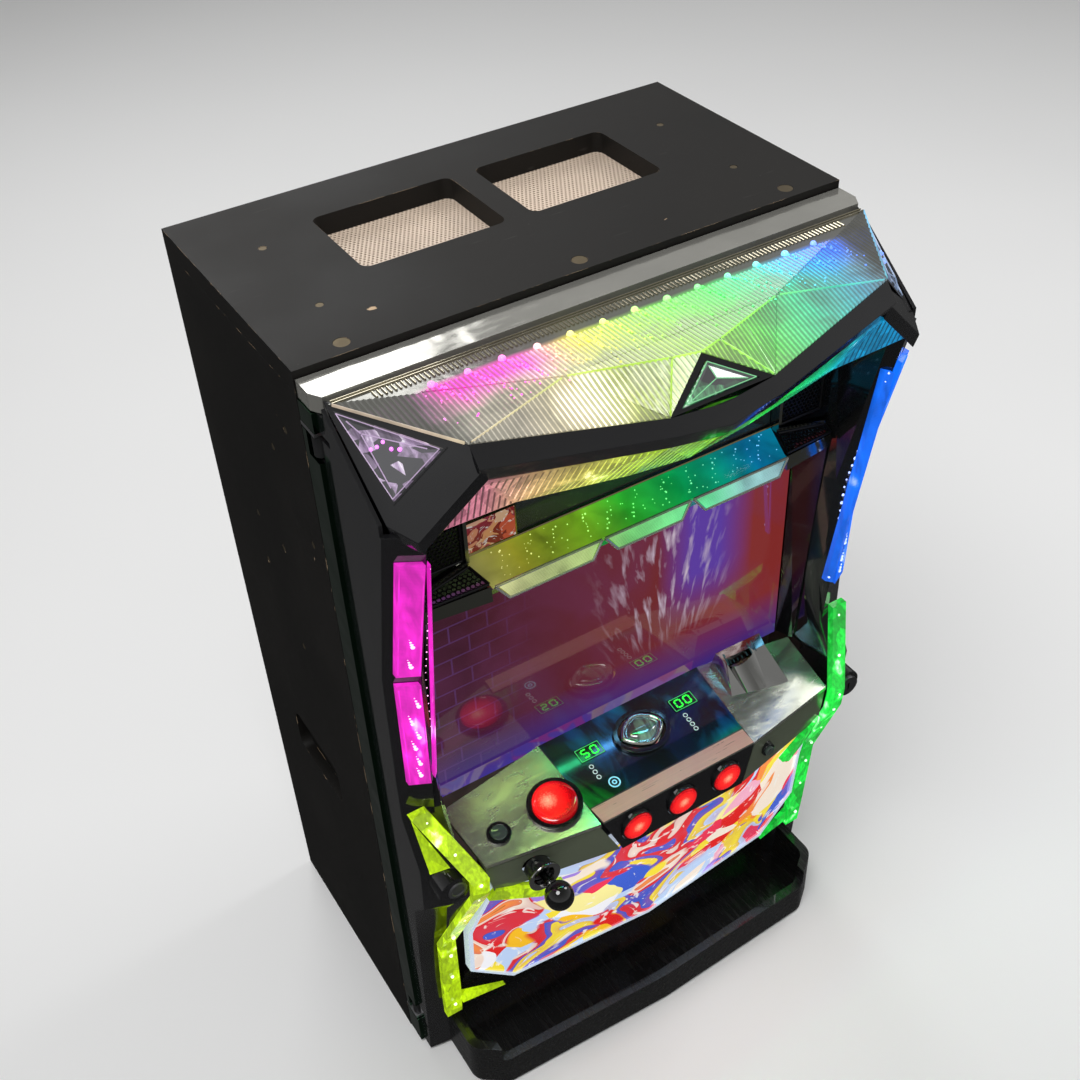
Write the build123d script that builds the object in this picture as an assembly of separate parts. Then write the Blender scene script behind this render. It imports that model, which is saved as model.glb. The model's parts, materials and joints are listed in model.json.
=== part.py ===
from build123d import *
import os

os.makedirs("parts", exist_ok=True)

# Driving dimensions in millimetres. While it is drawn, y = 0 is the cabinet's front edge,
# the door stands out to -y and the back is at +y. save() moves all to the middle of the base.
CAB_W = 480.0
CAB_H = 810.0
CAB_D = 250.0
FRONT_REACH = 174.0
BOARD = 18.0
BACK_BOARD = 6.0
DOOR_GAP = 1.5
FIT = 0.3
HALF = CAB_W / 2
INNER = HALF - BOARD
ORIGIN_Y = (FRONT_REACH - CAB_D) / 2

# Door: side trims, frame ring and pillars
TRIM_T = 4.0
TRIM_D = 24.0
DOOR_LOW = 4.0
DOOR_TOP = 789.0
FRAME_FRONT = -13.0
DOOR_X = HALF - TRIM_T
WALL_X = 197.0
RIDGE_X = 210.0
INNER_EDGE_X = 204.0
SKIN = 3.0

# Hinge pivot at the door's left edge, and its two brackets
PIVOT_X = -(HALF - 6.0)
PIVOT_Y = -16.0
PIN_R = 3.5
KNUCKLE_R = 5.5
ARM_T = 3.0
PIN_L = 19.0
HINGE_LEVELS = ((42.0, 1), (771.0, -1))

# Screen, upper window and awning
SCREEN_W = 376.0
SCREEN_LOW = 360.0
SCREEN_TOP = 571.0
SCREEN_Y = -30.0
WINDOW_X = 148.0
WINDOW_LOW = 634.0
WINDOW_TOP = 735.0
WINDOW_Y = -44.0

# Console: a plate that falls to the front, and falls outwards past its side seams
CON_BACK_Y = -36.0
CON_FRONT_Y = -130.0
CON_FRONT_X = 83.0
LIP_Y = -113.8
LIP_Z = 359.5
CON_BACK_Z = 372.0
CON_SLOPE = 0.161
CON_FALL = 0.094
SEAM_X = 88.0
CON_BACK_X = 193.0
CON_SIDE_X = 187.0
CON_SIDE_Y = -109.0
PLATE_T = 4.0
STRIP_TOP = 357.5
STRIP_LOW = 319.0
STRIP_TOP_Y = -131.5
STRIP_LOW_Y = -137.5
BUTTON_GAP = 0.4
PIVOT_PIN_R = 1.2

# Buttons, lever, lock, displays and medal slot on the door
MAX_BET, MAX_BET_R = (-107.0, -93.0), 20.0
BET_ONE, BET_ONE_R = (-162.0, -90.0), 7.5
CHANCE, CHANCE_W, CHANCE_H = (1.0, -70.0), 46.0, 36.0
DIGITS, DIGIT_W, DIGIT_H = ((-51.5, -64.0), (53.5, -61.5)), 26.0, 15.0
STOP_XS, STOP_Y, STOP_Z, STOP_R = (-49.0, 0.0, 49.0), -134.5, 337.7, 14.3
RETURN_X, RETURN_Y, RETURN_Z, RETURN_R = 102.0, -128.0, 335.0, 5.0
LEVER_X, LEVER_Y, LEVER_Z, BALL_R = -143.0, -124.0, 330.0, 13.0
KEY_X, KEY_Z, KEY_R, CAM_HALF = 216.0, 335.0, 11.0, 2.6
LATCH_LOW, LATCH_TOP = 307.0, 324.0
SLOT_X, SLOT_Y, SLOT_W, SLOT_T = 123.0, -56.0, 27.0, 5.2
GUIDE_R, GUIDE_Z, GUIDE_FALL = 20.0, 402.0, -35.0
CHUTE_X0, CHUTE_X1, CHUTE_LOW, CHUTE_TOP = 10.0, 90.0, 52.0, 106.0

# Cabinet fittings
CABLE_X, CABLE_Z, CABLE_R = 180.0, 236.0, 15.0
SHELF_Z, SHELF_T = 572.0, 15.0
SWITCH_X, SWITCH_Y, SWITCH_Z = 180.0, 79.0, 150.0
HOP_X, HOP_Y, DISC_R = 40.0, 130.0, 55.0

# Reels
REEL_R = 78.0
REEL_W = 56.0
REEL_PITCH = 68.0
REEL_Y = 92.0
REEL_Z = 680.0
SHAFT_R = 3.0
RUN = 0.05

# Brow at the top of the door, left half; the right half mirrors it
APEX = (0, -136, 807)
TRI_BASE = (-44, -162, 786)
LENS_CORNER = (-176, -127, 799)
LENS_BACK = (-232, -38, 802)
FACET_OUT = (-90, -105, 805)
FACET_IN = (-20, -130, 806.5)
GEM_TOP = (-233, -31, 802)
GEM_FRONT = (-171, -138, 785)
GEM_TIP = (-219, -127, 737)
GEM_SIDE = (-231, -106, 743)
FRAME_SHIFT = (3, 2, -12)
LENS_SHIFT = (0, 6, -7)


def block(x0, x1, y0, y1, z0, z1):
    """A box given by its six faces."""
    return Pos((x0 + x1) / 2, (y0 + y1) / 2, (z0 + z1) / 2) * Box(x1 - x0, y1 - y0, z1 - z0)


def rod(x, y, z, radius, length, turn=(0, 0, 0)):
    """A cylinder centred at a point, along Z unless it is turned."""
    return Pos(x, y, z) * Rot(*turn) * Cylinder(radius, length)


def flip(shape):
    """The same piece on the other side of the machine."""
    return mirror(shape, about=Plane.YZ)


def flip_point(p):
    return (-p[0], p[1], p[2])


def moved(p, shift):
    return tuple(a + b for a, b in zip(p, shift))


def between(a, b, t):
    return tuple(p + (q - p) * t for p, q in zip(a, b))


def solid_of(polygons):
    """A closed solid from flat polygons that meet edge to edge."""
    faces = [Face(Wire.make_polygon([Vector(*p) for p in poly], close=True)) for poly in polygons]
    return Solid(Shell(faces))


def sheet(points, faces, shift):
    """A faceted skin, given by point names, made thick along one straight shift."""
    far = {name: moved(p, shift) for name, p in points.items()}
    edges = [(f[i], f[(i + 1) % len(f)]) for f in faces for i in range(len(f))]
    rim = [e for e in edges if (e[1], e[0]) not in edges]
    near_skin = [[points[n] for n in f] for f in faces]
    far_skin = [[far[n] for n in reversed(f)] for f in faces]
    sides = [[points[b], points[a], far[a], far[b]] for a, b in rim]
    return solid_of(near_skin + far_skin + sides)


def fan(corners, shift):
    """One flat or nearly flat polygon made thick; three or four corners."""
    points = dict(enumerate(corners))
    faces = [[0, i, i + 1] for i in range(1, len(corners) - 1)]
    return sheet(points, faces, shift)


def bar(sections):
    """A solid through like sections, skinned with triangles."""
    count = len(sections[0])
    skin = [list(sections[0]), list(reversed(sections[-1]))]
    for one, two in zip(sections, sections[1:]):
        for i in range(count):
            j = (i + 1) % count
            skin.append([one[i], two[i], two[j]])
            skin.append([one[i], two[j], one[j]])
    return solid_of(skin)


def cut(shape, *tools):
    """Take the tools away and keep the largest piece that is left."""
    for tool in tools:
        shape = shape - tool
    return max(shape.solids(), key=lambda s: s.volume)


def save(name, *pieces):
    """Write one node, moved to the shared origin."""
    solids = []
    for piece in pieces:
        solids += piece.solids()
    export_step(Pos(0, ORIGIN_Y, 0) * Compound(solids), f"parts/{name}.step")


# ---------------------------------------------------------------- cabinet

TOP_Z = CAB_H - BOARD
HAND_Y, HAND_Z, HAND_W, HAND_H, HAND_DEEP = 127.0, 300.0, 96.0, 48.0, 10.0
SIDE_SCREWS = ((37, 740), (74, 703), (152, 587), (99, 584), (151, 535), (23, 641), (101, 470))
SCREW_R, SCREW_L = 3.0, 2.6
TOP_BOLT_X, TOP_BOLT_Y, BOLT_R, BOLT_L = 196.0, 14.0, 6.0, 5.5
TOP_SCREWS = ((187, 172), (187, 69))
VENT_IN, VENT_OUT, VENT_FRONT, VENT_BACK, VENT_R = 11.5, 137.0, 98.0, 194.0, 8.0
MESH_T = 1.5


def screw_places():
    """Every plain fastener in the boards: centre, radius, length and the turn of its axis."""
    places = []
    for side in (-1, 1):
        for y, z in SIDE_SCREWS:
            places.append(((side * HALF, y, z), SCREW_R, SCREW_L, (0, 90, 0)))
        for x, y in TOP_SCREWS:
            places.append(((side * x, y, CAB_H), SCREW_R, SCREW_L, (0, 0, 0)))
    for x in (-TOP_BOLT_X, 0, TOP_BOLT_X):
        places.append(((x, TOP_BOLT_Y, CAB_H), BOLT_R, BOLT_L, (0, 0, 0)))
    return places


def panel_screws():
    heads = []
    for (x, y, z), radius, length, turn in screw_places():
        inward = length / 2 + 0.2
        x = x - inward * (1 if x > 0 else -1) if turn[1] else x
        z = z if turn[1] else z - inward
        heads.append(rod(x, y, z, radius, length, turn))
    return heads


def screw_pockets():
    clearance = 0.25
    return [rod(*p, r + clearance, 2 * (n + 0.5), turn) for p, r, n, turn in screw_places()]


def side_panel():
    board = block(-HALF, -INNER, 0, CAB_D, 0, TOP_Z)
    recess = extrude(RectangleRounded(HAND_W, HAND_H, 12), HAND_DEEP)
    board -= Pos(-HALF + HAND_DEEP, HAND_Y, HAND_Z) * Rot(0, -90, 0) * Rot(0, 0, 90) * recess
    for pocket in screw_pockets():
        board -= pocket
    return board


def top_panel():
    board = block(-HALF, HALF, 0, CAB_D, TOP_Z, CAB_H)
    width, depth = VENT_OUT - VENT_IN, VENT_BACK - VENT_FRONT
    hole = extrude(RectangleRounded(width, depth, VENT_R), BOARD)
    for side in (-1, 1):
        board -= Pos(side * (VENT_IN + VENT_OUT) / 2, (VENT_FRONT + VENT_BACK) / 2, TOP_Z) * hole
    for pocket in screw_pockets():
        board -= pocket
    return board


def vent_meshes():
    lap = 5.0
    one = block(VENT_IN - lap, VENT_OUT + lap, VENT_FRONT - lap, VENT_BACK + lap, TOP_Z - MESH_T, TOP_Z)
    return [one, flip(one)]


def back_panel():
    board = block(-INNER, INNER, CAB_D - BACK_BOARD, CAB_D, BOARD, TOP_Z)
    return board - rod(CABLE_X, CAB_D, CABLE_Z, CABLE_R, 4 * BACK_BOARD, (90, 0, 0))


def hinge_brackets():
    """Two steel arms with pins at the left edge, and the latch's hook on the right."""
    pieces = []
    for level, up in HINGE_LEVELS:
        z0, z1 = sorted((level, level + up * ARM_T))
        arm = block(-HALF, -INNER + ARM_T, -22, -0.5, z0, z1)
        arm += block(-INNER, -INNER + ARM_T, -1, 40, min(z0, z0 - 18 * up), max(z1, z1 - 18 * up))
        arm += rod(PIVOT_X, PIVOT_Y, level + up * (ARM_T + PIN_L / 2), PIN_R, PIN_L)
        pieces.append(arm)
    hook = block(INNER - ARM_T, INNER, -25, 40, LATCH_LOW, LATCH_TOP)
    hook += block(205, INNER, -25, -22, LATCH_LOW, LATCH_TOP)
    return pieces + [hook]


def hinge_room():
    """The space that the brackets and knuckles need inside the door's left edge."""
    rooms = []
    for level, up in HINGE_LEVELS:
        arm_mid = level + up * ARM_T / 2
        knuckle_mid = level + up * (ARM_T + PIN_L / 2)
        rooms.append(rod(PIVOT_X, PIVOT_Y, arm_mid, 23, ARM_T + 2.4))
        rooms.append(block(-HALF - 1, -226, -25, -8, knuckle_mid - 12, knuckle_mid + 12))
    return rooms


def power_unit():
    """Steel supply case with its inlet socket below the switch."""
    case = block(140, 218, 80, 220, 19, 190) - block(142, 216, 82, 218, 21, 188)
    case -= block(SWITCH_X - 6.5, SWITCH_X + 6.5, 79, 84, SWITCH_Z - 11, SWITCH_Z + 11)
    inlet = block(166, 194, 70, 80, 60, 84) - block(169, 191, 66, 78, 63, 81)
    return [case + inlet]


def power_switch():
    rocker = extrude(Polygon((-9.5, -1), (9.5, -1), (9.5, 4.2), (0, 2.8), (-9.5, 4.2), align=None), 12)
    rocker = Pos(SWITCH_X + 6, SWITCH_Y, SWITCH_Z) * Rot(0, -90, 0) * Rot(0, 0, 180) * rocker
    return rocker + rod(SWITCH_X, SWITCH_Y + 1.5, SWITCH_Z, 1.5, 12, (0, 90, 0))




def hopper_base():
    base = block(-40, 120, 60, 200, 18.5, 72) - block(-37, 117, 63, 197, 21.5, 69)
    base += rod(HOP_X, HOP_Y, 58, 12, 24)
    return base - rod(HOP_X, HOP_Y, 60, SHAFT_R + 1 + RUN, 40)


def hopper_disc():
    disc = rod(HOP_X, HOP_Y, 79, DISC_R, 5)
    for step in range(6):
        hole = Pos(HOP_X, HOP_Y, 79) * Rot(0, 0, 60 * step) * Pos(38, 0, 0) * Cylinder(13, 10)
        disc -= hole
    disc += rod(HOP_X, HOP_Y, 90, 10, 18)
    return disc + rod(HOP_X, HOP_Y, 63, SHAFT_R + 1, 28)


def hopper_bucket():
    """Open medal bin that narrows to the disc's round floor opening."""
    outer = bar([
        [(-44, 64, 72.5), (124, 64, 72.5), (124, 196, 72.5), (-44, 196, 72.5)],
        [(-62, 50, 200), (132, 50, 200), (132, 212, 200), (-62, 212, 200)],
    ])
    inner = bar([
        [(-41, 67, 76), (121, 67, 76), (121, 193, 76), (-41, 193, 76)],
        [(-59.2, 52.8, 201), (129.2, 52.8, 201), (129.2, 209.2, 201), (-59.2, 209.2, 201)],
    ])
    return outer - inner - rod(HOP_X, HOP_Y, 75, DISC_R + 3, 10)


def overflow_tank():
    return block(-216, -72, 50, 210, 18.5, 125) - block(-213.5, -74.5, 52.5, 207.5, 21, 126)


def main_board_case():
    return block(-140, 140, 200, 236, 330, 530) - block(-137.5, 137.5, 202.5, 233.5, 332.5, 527.5)


def reel_centres():
    return (-REEL_PITCH, 0, REEL_PITCH)


def reel_frame():
    """Sheet chassis: floor, roof, back and four walls between and beside the reels."""
    low, top, back, side = SHELF_Z + SHELF_T, 776.0, 184.0, 108.0
    frame = block(-side, side, 16, back, low, low + 2) + block(-side, side, 16, back, top - 2, top)
    frame += block(-side, side, back - 2, back, low, top)
    for x in (-1.5, -0.5, 0.5, 1.5):
        wall = x * REEL_PITCH + (3 if x > 0 else -3)
        frame += block(wall - 1, wall + 1, 16, back, low, top)
    for x in reel_centres():
        frame += block(x + 29.5, x + 31.5, REEL_Y - 26, REEL_Y + 26, low, REEL_Z + 26)
    for x in reel_centres():
        frame -= rod(x + 30.5, REEL_Y, REEL_Z, 12, 4, (0, 90, 0))
    return frame


def reel(x):
    """Drum with a thin rim, a spoked side, a hub and the motor's shaft."""
    drum = Cylinder(REEL_R, REEL_W) - Cylinder(REEL_R - 2.5, REEL_W + 2)
    web = Cylinder(REEL_R - 1, 2)
    for step in range(5):
        web -= Rot(0, 0, 72 * step) * Pos(44, 0, 0) * Cylinder(18, 6)
    web = Pos(0, 0, -REEL_W / 2 + 1) * web
    hub = Pos(0, 0, -REEL_W / 2 + 6) * Cylinder(9, 12)
    shaft = Pos(0, 0, 4) * Cylinder(SHAFT_R, 48)
    return Pos(x, REEL_Y, REEL_Z) * Rot(0, 90, 0) * (drum + web + hub + shaft)


def reel_motors():
    motors = []
    for x in reel_centres():
        body = block(x + 7.5, x + 29.5, REEL_Y - 21, REEL_Y + 21, REEL_Z - 21, REEL_Z + 21)
        body += rod(x + 30, REEL_Y, REEL_Z, 11, 3, (0, 90, 0))
        motors.append(body - rod(x + 16, REEL_Y, REEL_Z, SHAFT_R + RUN, 32, (0, 90, 0)))
    return motors


# ---------------------------------------------------------------- door shell

# Pillar fronts from the foot up: height, then y at the outer edge, ridge and inner edge
PILLAR_LEVELS = (
    (4, -37, -41, -42), (84, -42, -46, -48), (190, -49, -54, -60), (262, -55, -68, -80),
    (292, -79, -88, -97), (350, -83, -95, -104), (398, -61, -70, -74), (443, -61, -74, -67),
    (568, -66, -80, -72), (735, -106, -122, -112),
)


def pillar_section(level, inset):
    z, outer, ridge, inner = level
    back = FRAME_FRONT + (2 if inset else 0)
    return [
        (-DOOR_X + inset, back, z),
        (-DOOR_X + inset, outer + inset * 1.3, z),
        (-RIDGE_X, ridge + inset * 1.4, z),
        (-INNER_EDGE_X, inner + inset * 1.4, z),
        (-WALL_X - inset, max(inner + 12, -60) + inset * 1.3, z),
        (-WALL_X - inset, back, z),
    ]


def pillar():
    """Left side moulding: hollow, open to the back, carried up beside the brow."""
    shell = bar([pillar_section(level, 0) for level in PILLAR_LEVELS])
    shell -= bar([pillar_section(level, SKIN) for level in PILLAR_LEVELS])
    cheek = [(FRAME_FRONT, 789), (-33, 789), (-34, 797), (-104, 744), (-104, 733), (FRAME_FRONT, 733)]
    plate = Polygon(*cheek, align=None)
    shell += Pos(-DOOR_X, 0, 0) * Rot(0, 0, 90) * Rot(90, 0, 0) * extrude(plate, SKIN)
    shell += rod(-KEY_X, -94, KEY_Z, 15, 24, (90, 0, 0))
    return shell


def pillars():
    left = pillar()
    right = flip(left) - rod(KEY_X, -94, KEY_Z, KEY_R + FIT, 40, (90, 0, 0))
    for room in hinge_room():
        left -= room
    frames = corner_frames()
    return cut(left, frames[0]), cut(right, frames[1])


def side_trims():
    left = block(-HALF, -DOOR_X, -TRIM_D, -DOOR_GAP, DOOR_LOW, DOOR_TOP)
    right = flip(left)
    for room in hinge_room():
        left -= room
    return [left, right]


def door_frame():
    """Back ring of the door with its windows, and the two hinge knuckles."""
    ring = block(-DOOR_X, DOOR_X, FRAME_FRONT, -DOOR_GAP, DOOR_LOW, DOOR_TOP)
    ring -= block(-150, 150, -20, 0, WINDOW_LOW, 722)
    ring -= block(-175, 175, -20, 0, 372, 560)
    ring -= block(-150, 150, -20, 0, 130, 300)
    ring -= block(CHUTE_X0, CHUTE_X1, -20, 0, CHUTE_LOW, CHUTE_TOP)
    ring -= block(202, 227, -20, 0, LATCH_LOW - 6, LATCH_TOP + 6)
    for room in hinge_room():
        ring -= room
    for level, up in HINGE_LEVELS:
        mid = level + up * (ARM_T + PIN_L / 2 + 0.6)
        knuckle = rod(PIVOT_X, PIVOT_Y, mid, KNUCKLE_R, PIN_L - 1.2)
        knuckle += block(PIVOT_X, -222, -13.5, -5, mid - 8, mid + 8)
        ring += knuckle - rod(PIVOT_X, PIVOT_Y, mid, PIN_R + RUN, 2 * PIN_L)
    return ring


def chrome_header():
    outline = Polygon(
        (-239, -DOOR_GAP), (-239, -21), (-233, -31), (233, -31), (239, -21), (239, -DOOR_GAP), align=None)
    return cut(Pos(0, 0, 790) * extrude(outline, 14), *corner_frames())


def lens_points():
    left = {"back": LENS_BACK, "corner": LENS_CORNER, "base": TRI_BASE, "out": FACET_OUT, "in": FACET_IN}
    points = {name + "_l": p for name, p in left.items()}
    points.update({name + "_r": flip_point(p) for name, p in left.items()})
    points["apex"] = APEX
    return points


def top_lens():
    faces = [
        ["back_l", "out_l", "out_r"], ["back_l", "out_r", "back_r"], ["out_l", "in_l", "in_r"],
        ["out_l", "in_r", "out_r"], ["in_l", "apex", "in_r"],
        ["back_l", "corner_l", "out_l"], ["corner_l", "base_l", "out_l"], ["base_l", "in_l", "out_l"],
        ["base_l", "apex", "in_l"],
        ["corner_r", "back_r", "out_r"], ["base_r", "corner_r", "out_r"], ["in_r", "base_r", "out_r"],
        ["apex", "base_r", "in_r"],
    ]
    return cut(sheet(lens_points(), faces, LENS_SHIFT), brow_band(), *corner_frames())


# Band sections from the corner to the middle: x, then (y, z) round the bar
BAND_SECTIONS = (
    (-176, ((-127, 799), (-139, 786), (-131, 771), (-119, 784))),
    (-44, ((-162, 786), (-171, 776), (-163, 762), (-152, 772))),
    (0, ((-164, 782), (-174, 770), (-166, 756), (-154, 768))),
)


def brow_band():
    """Glossy bar across the brow, with the triangle that frames the middle gem."""
    left = [[(x, y, z) for y, z in ring] for x, ring in BAND_SECTIONS]
    right = [[flip_point(p) for p in ring] for ring in reversed(left[:-1])]
    band = bar(left + right)
    band += gem_frame(APEX, TRI_BASE, flip_point(TRI_BASE), (0, 8, -12), 0.74)
    return cut(band, *corner_frames())


def gem_frame(a, b, c, shift, inner):
    """A flat triangle with a triangular window."""
    middle = tuple((p + q + r) / 3 for p, q, r in zip(a, b, c))
    points = {"a": a, "b": b, "c": c}
    for name in "abc":
        points[name + "i"] = between(middle, points[name], inner)
    faces = []
    for one, two in (("a", "b"), ("b", "c"), ("c", "a")):
        faces += [[one, two, two + "i"], [one, two + "i", one + "i"]]
    return sheet(points, faces, shift)


def gem_place(u, v):
    """A point of the corner's slanted face, from its top corner along both edges."""
    along = [b - a for a, b in zip(GEM_TOP, LENS_CORNER)]
    down = [b - a for a, b in zip(GEM_TOP, GEM_TIP)]
    return tuple(a + u * p + v * q for a, p, q in zip(GEM_TOP, along, down))


GEM_CORNERS = (gem_place(0.02, 0.06), gem_place(0.79, 0.09), gem_place(0.02, 0.72))


def corner_frames():
    """Black mouldings at the brow's corners, each round a slanted triangular window."""
    points = {"top": GEM_TOP, "corner": LENS_CORNER, "front": GEM_FRONT, "tip": GEM_TIP, "side": GEM_SIDE}
    points.update({"g0": GEM_CORNERS[0], "g1": GEM_CORNERS[1], "g2": GEM_CORNERS[2]})
    faces = [
        ["top", "g1", "corner"], ["top", "g0", "g1"], ["corner", "g1", "front"], ["front", "g1", "g2"],
        ["front", "g2", "tip"], ["tip", "g2", "side"], ["side", "g2", "top"], ["top", "g2", "g0"],
    ]
    left = sheet(points, faces, FRAME_SHIFT)
    return [left, flip(left)]


def gem(corners, rise, shift):
    """A low three-sided crystal that fills a triangular window."""
    middle = tuple(sum(axis) / 3 for axis in zip(*corners))
    points = {str(i): between(middle, p, 0.95) for i, p in enumerate(corners)}
    points["peak"] = moved(middle, rise)
    faces = [["0", "1", "peak"], ["1", "2", "peak"], ["2", "0", "peak"]]
    return sheet(points, faces, shift)


def brow_gems():
    left = gem(GEM_CORNERS, (-3, -2, 2), (2, 1.5, -8))
    middle = tuple((p + q + r) / 3 for p, q, r in zip(APEX, TRI_BASE, flip_point(TRI_BASE)))
    corners = [between(middle, p, 0.74) for p in (APEX, TRI_BASE, flip_point(TRI_BASE))]
    return [gem(corners, (0, -2, 3), (0, 5, -8)), left, flip(left)]


def brow_lower_lens():
    left = {"tip": (-217, -124, 737.5), "u": (-172, -133, 770), "v": (-44, -160, 760),
            "x": (-140, -118, 730), "y": (-52, -126, 719)}
    points = {name + "_l": p for name, p in left.items()}
    points.update({name + "_r": flip_point(p) for name, p in left.items()})
    points.update({"w": (0, -163, 755), "z": (0, -128, 714)})
    faces = [["tip_l", "u_l", "x_l"], ["u_l", "v_l", "x_l"], ["v_l", "y_l", "x_l"], ["v_l", "w", "z"],
             ["v_l", "z", "y_l"], ["u_r", "tip_r", "x_r"], ["v_r", "u_r", "x_r"], ["y_r", "v_r", "x_r"],
             ["w", "v_r", "z"], ["z", "v_r", "y_r"]]
    return cut(sheet(points, faces, (0, 3, 4)), brow_band(), *corner_frames(), *pillars())


# ---------------------------------------------------------------- windows and screen

def shelf_lens():
    """Tinted awning over the screen with three ribbed tabs along its edge."""
    top, low = (WINDOW_Y - 1, WINDOW_LOW - 3), (-76, 622)
    awning = fan([(-WINDOW_X, *top), (WINDOW_X, *top), (140, *low), (-140, *low)], (0, 2, -4.5))
    tabs = [tab(-140, -44), tab(-41, 41), tab(44, 140)]
    return [awning] + tabs


def tab(x0, x1):
    inset = 10.0
    corners = [(x0, -78, 622.5), (x0 + inset, -80.5, 609), (x1 - inset, -80.5, 609), (x1, -78, 622.5)]
    return fan(corners, (0, 3, 0.5))


def chrome_trims():
    """Bright bars round the speaker grilles and the strips beside the awning's tabs."""
    upright = block(-151, -148, -55, -45, WINDOW_LOW, 733)
    slope = bar([
        [(-196, -53, 623), (-196, -59, 623), (-196, -59, 627), (-196, -53, 627)],
        [(-148, -47, 630), (-148, -53, 630), (-148, -53, 634), (-148, -47, 634)],
    ])
    strip = fan([(-196, -68, 617.5), (-142, -75.5, 621.5), (-142, -76.5, 607.5), (-196, -69, 606.3)], (0, 4, 0))
    left = [upright, slope, strip]
    return left + [flip(piece) for piece in left]


def speaker_grilles():
    upper = block(-196, -151.3, -51, -49.5, WINDOW_LOW + 1, 733)
    lower = fan([(-196, -59, 622.5), (-149, -54, 629), (-143, -74, 623.5), (-196, -67, 619)], (0, 1.2, -1.2))
    return [upper, flip(upper), lower, flip(lower)]


def speaker_drivers():
    drivers = []
    for side in (-1, 1):
        cone = Cone(10, 20, 14) + Pos(0, 0, -12) * Cylinder(14, 10)
        drivers.append(Pos(side * 174, -34, 694) * Rot(90, 0, 0) * cone)
    return drivers


def window_bezel():
    """Glossy walls round the screen and the ceiling of the upper recess."""
    half = SCREEN_W / 2 + 1
    wall = sheet(
        {"a": (-half, -31, 362), "b": (-half, -31, 571), "c": (-195, -66, 606), "d": (-195, -48, 362)},
        [["a", "b", "d"], ["b", "c", "d"]], (-1.5, 0.5, 0))
    lid = fan([(-half, -31, 572), (half, -31, 572), (195, -66, 604), (-195, -66, 604)], (0, 2, 2.5))
    ceiling = fan([(-196, -46, 737), (196, -46, 737), (196, -104, 739), (-196, -104, 739)], (0, 0, 2.5))
    return [wall, flip(wall), lid, cut(ceiling, brow_lower_lens())]


# Lamp bars: their two edges in x on the outer and on the inner slope
OUTER_LAMP, INNER_LAMP = (229.0, 212.5), (208.8, 204.6)


def front_at(z, column):
    """The pillar's front y at a height, for the outer edge, ridge or inner edge."""
    for low, high in zip(PILLAR_LEVELS, PILLAR_LEVELS[1:]):
        if low[0] <= z <= high[0]:
            t = (z - low[0]) / (high[0] - low[0])
            return low[column] + (high[column] - low[column]) * t
    return PILLAR_LEVELS[-1][column]


def face_at(x, z):
    """The left pillar's front y at any x and height."""
    edge_x, column = (DOOR_X, 1) if abs(x) > RIDGE_X else (INNER_EDGE_X, 3)
    share = (abs(x) - edge_x) / (RIDGE_X - edge_x)
    return front_at(z, column) + share * (front_at(z, 2) - front_at(z, column))


def lamp(z0, z1, span):
    """A lens bar that stands proud of one slope of the left pillar's ridge."""
    proud, low = 5.6, 0.6
    sections = []
    for z in (z0, z1):
        far, near = [(-x, face_at(x, z) - low, z) for x in span]
        sections.append([near, far, moved(far, (0, low - proud, 0)), moved(near, (0, low - proud, 0))])
    return bar(sections)


def pillar_lamps():
    left = [lamp(576, 710, OUTER_LAMP), lamp(446, 564, OUTER_LAMP), lamp(450, 700, INNER_LAMP)]
    tools = [*corner_frames(), *pillars(), brow_lower_lens()]
    left = [cut(piece, *tools) for piece in left]
    return left + [flip(piece) for piece in left]


# Arm centre line on the left, with the lens width at each bend
ARM_LINE = ((-226, -69, 410, 8), (-196, -111, 345, 8), (-196, -109, 322, 8), (-214, -62, 208, 8),
            (-213, -55, 108, 9), (-213, -53, 78, 8))


def window(*corners):
    """A thin lit pane just ahead of the left pillar, from three places in x and z."""
    return fan([(-x, face_at(x, z) - 1.6, z) for x, z in corners], (0, 1.2, 0))


def arm_lenses():
    """Lit arms that fold round the elbows, their feet, side windows and console crystals."""
    arm = bar([[(x - w, y + 1, z), (x - w, y - 6, z), (x + w, y - 6, z), (x + w, y + 1, z)]
               for x, y, z, w in ARM_LINE])
    foot = fan([(-203, -59, 104), (-160, -69, 96), (-203, -59, 88)], (0, 5, 0))
    upper = window((230, 396), (229, 347), (213, 352))
    lower = window((228, 314), (210, 316), (226, 262))
    crystal = fan([(-180, -113, 316), (-122, -129, 304), (-140, -119, 284), (-186, -107, 299)], (0, 6, 0))
    tools = [pillars()[0], art_frame(), art_panel(), *console_fronts()]
    left = [cut(piece, *tools) for piece in (arm, foot, upper, lower, crystal)]
    return left + [flip(piece) for piece in left]


# ---------------------------------------------------------------- console

def console_z(x, y):
    return CON_BACK_Z + CON_SLOPE * (y - CON_BACK_Y) - CON_FALL * max(0.0, abs(x) - SEAM_X)


def on_console(x, y, lift=0.0):
    """A place on the console's top with its local Z square to the plate."""
    lean = 0.0 if abs(x) < SEAM_X else CON_FALL * (1 if x > 0 else -1)
    plane = Plane(origin=(x, y, console_z(x, y)), x_dir=(1, 0, -lean), z_dir=(lean, -CON_SLOPE, 1))
    return plane.location * Pos(0, 0, lift)


def console_corner(x, y):
    return (x, y, console_z(x, y))


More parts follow.
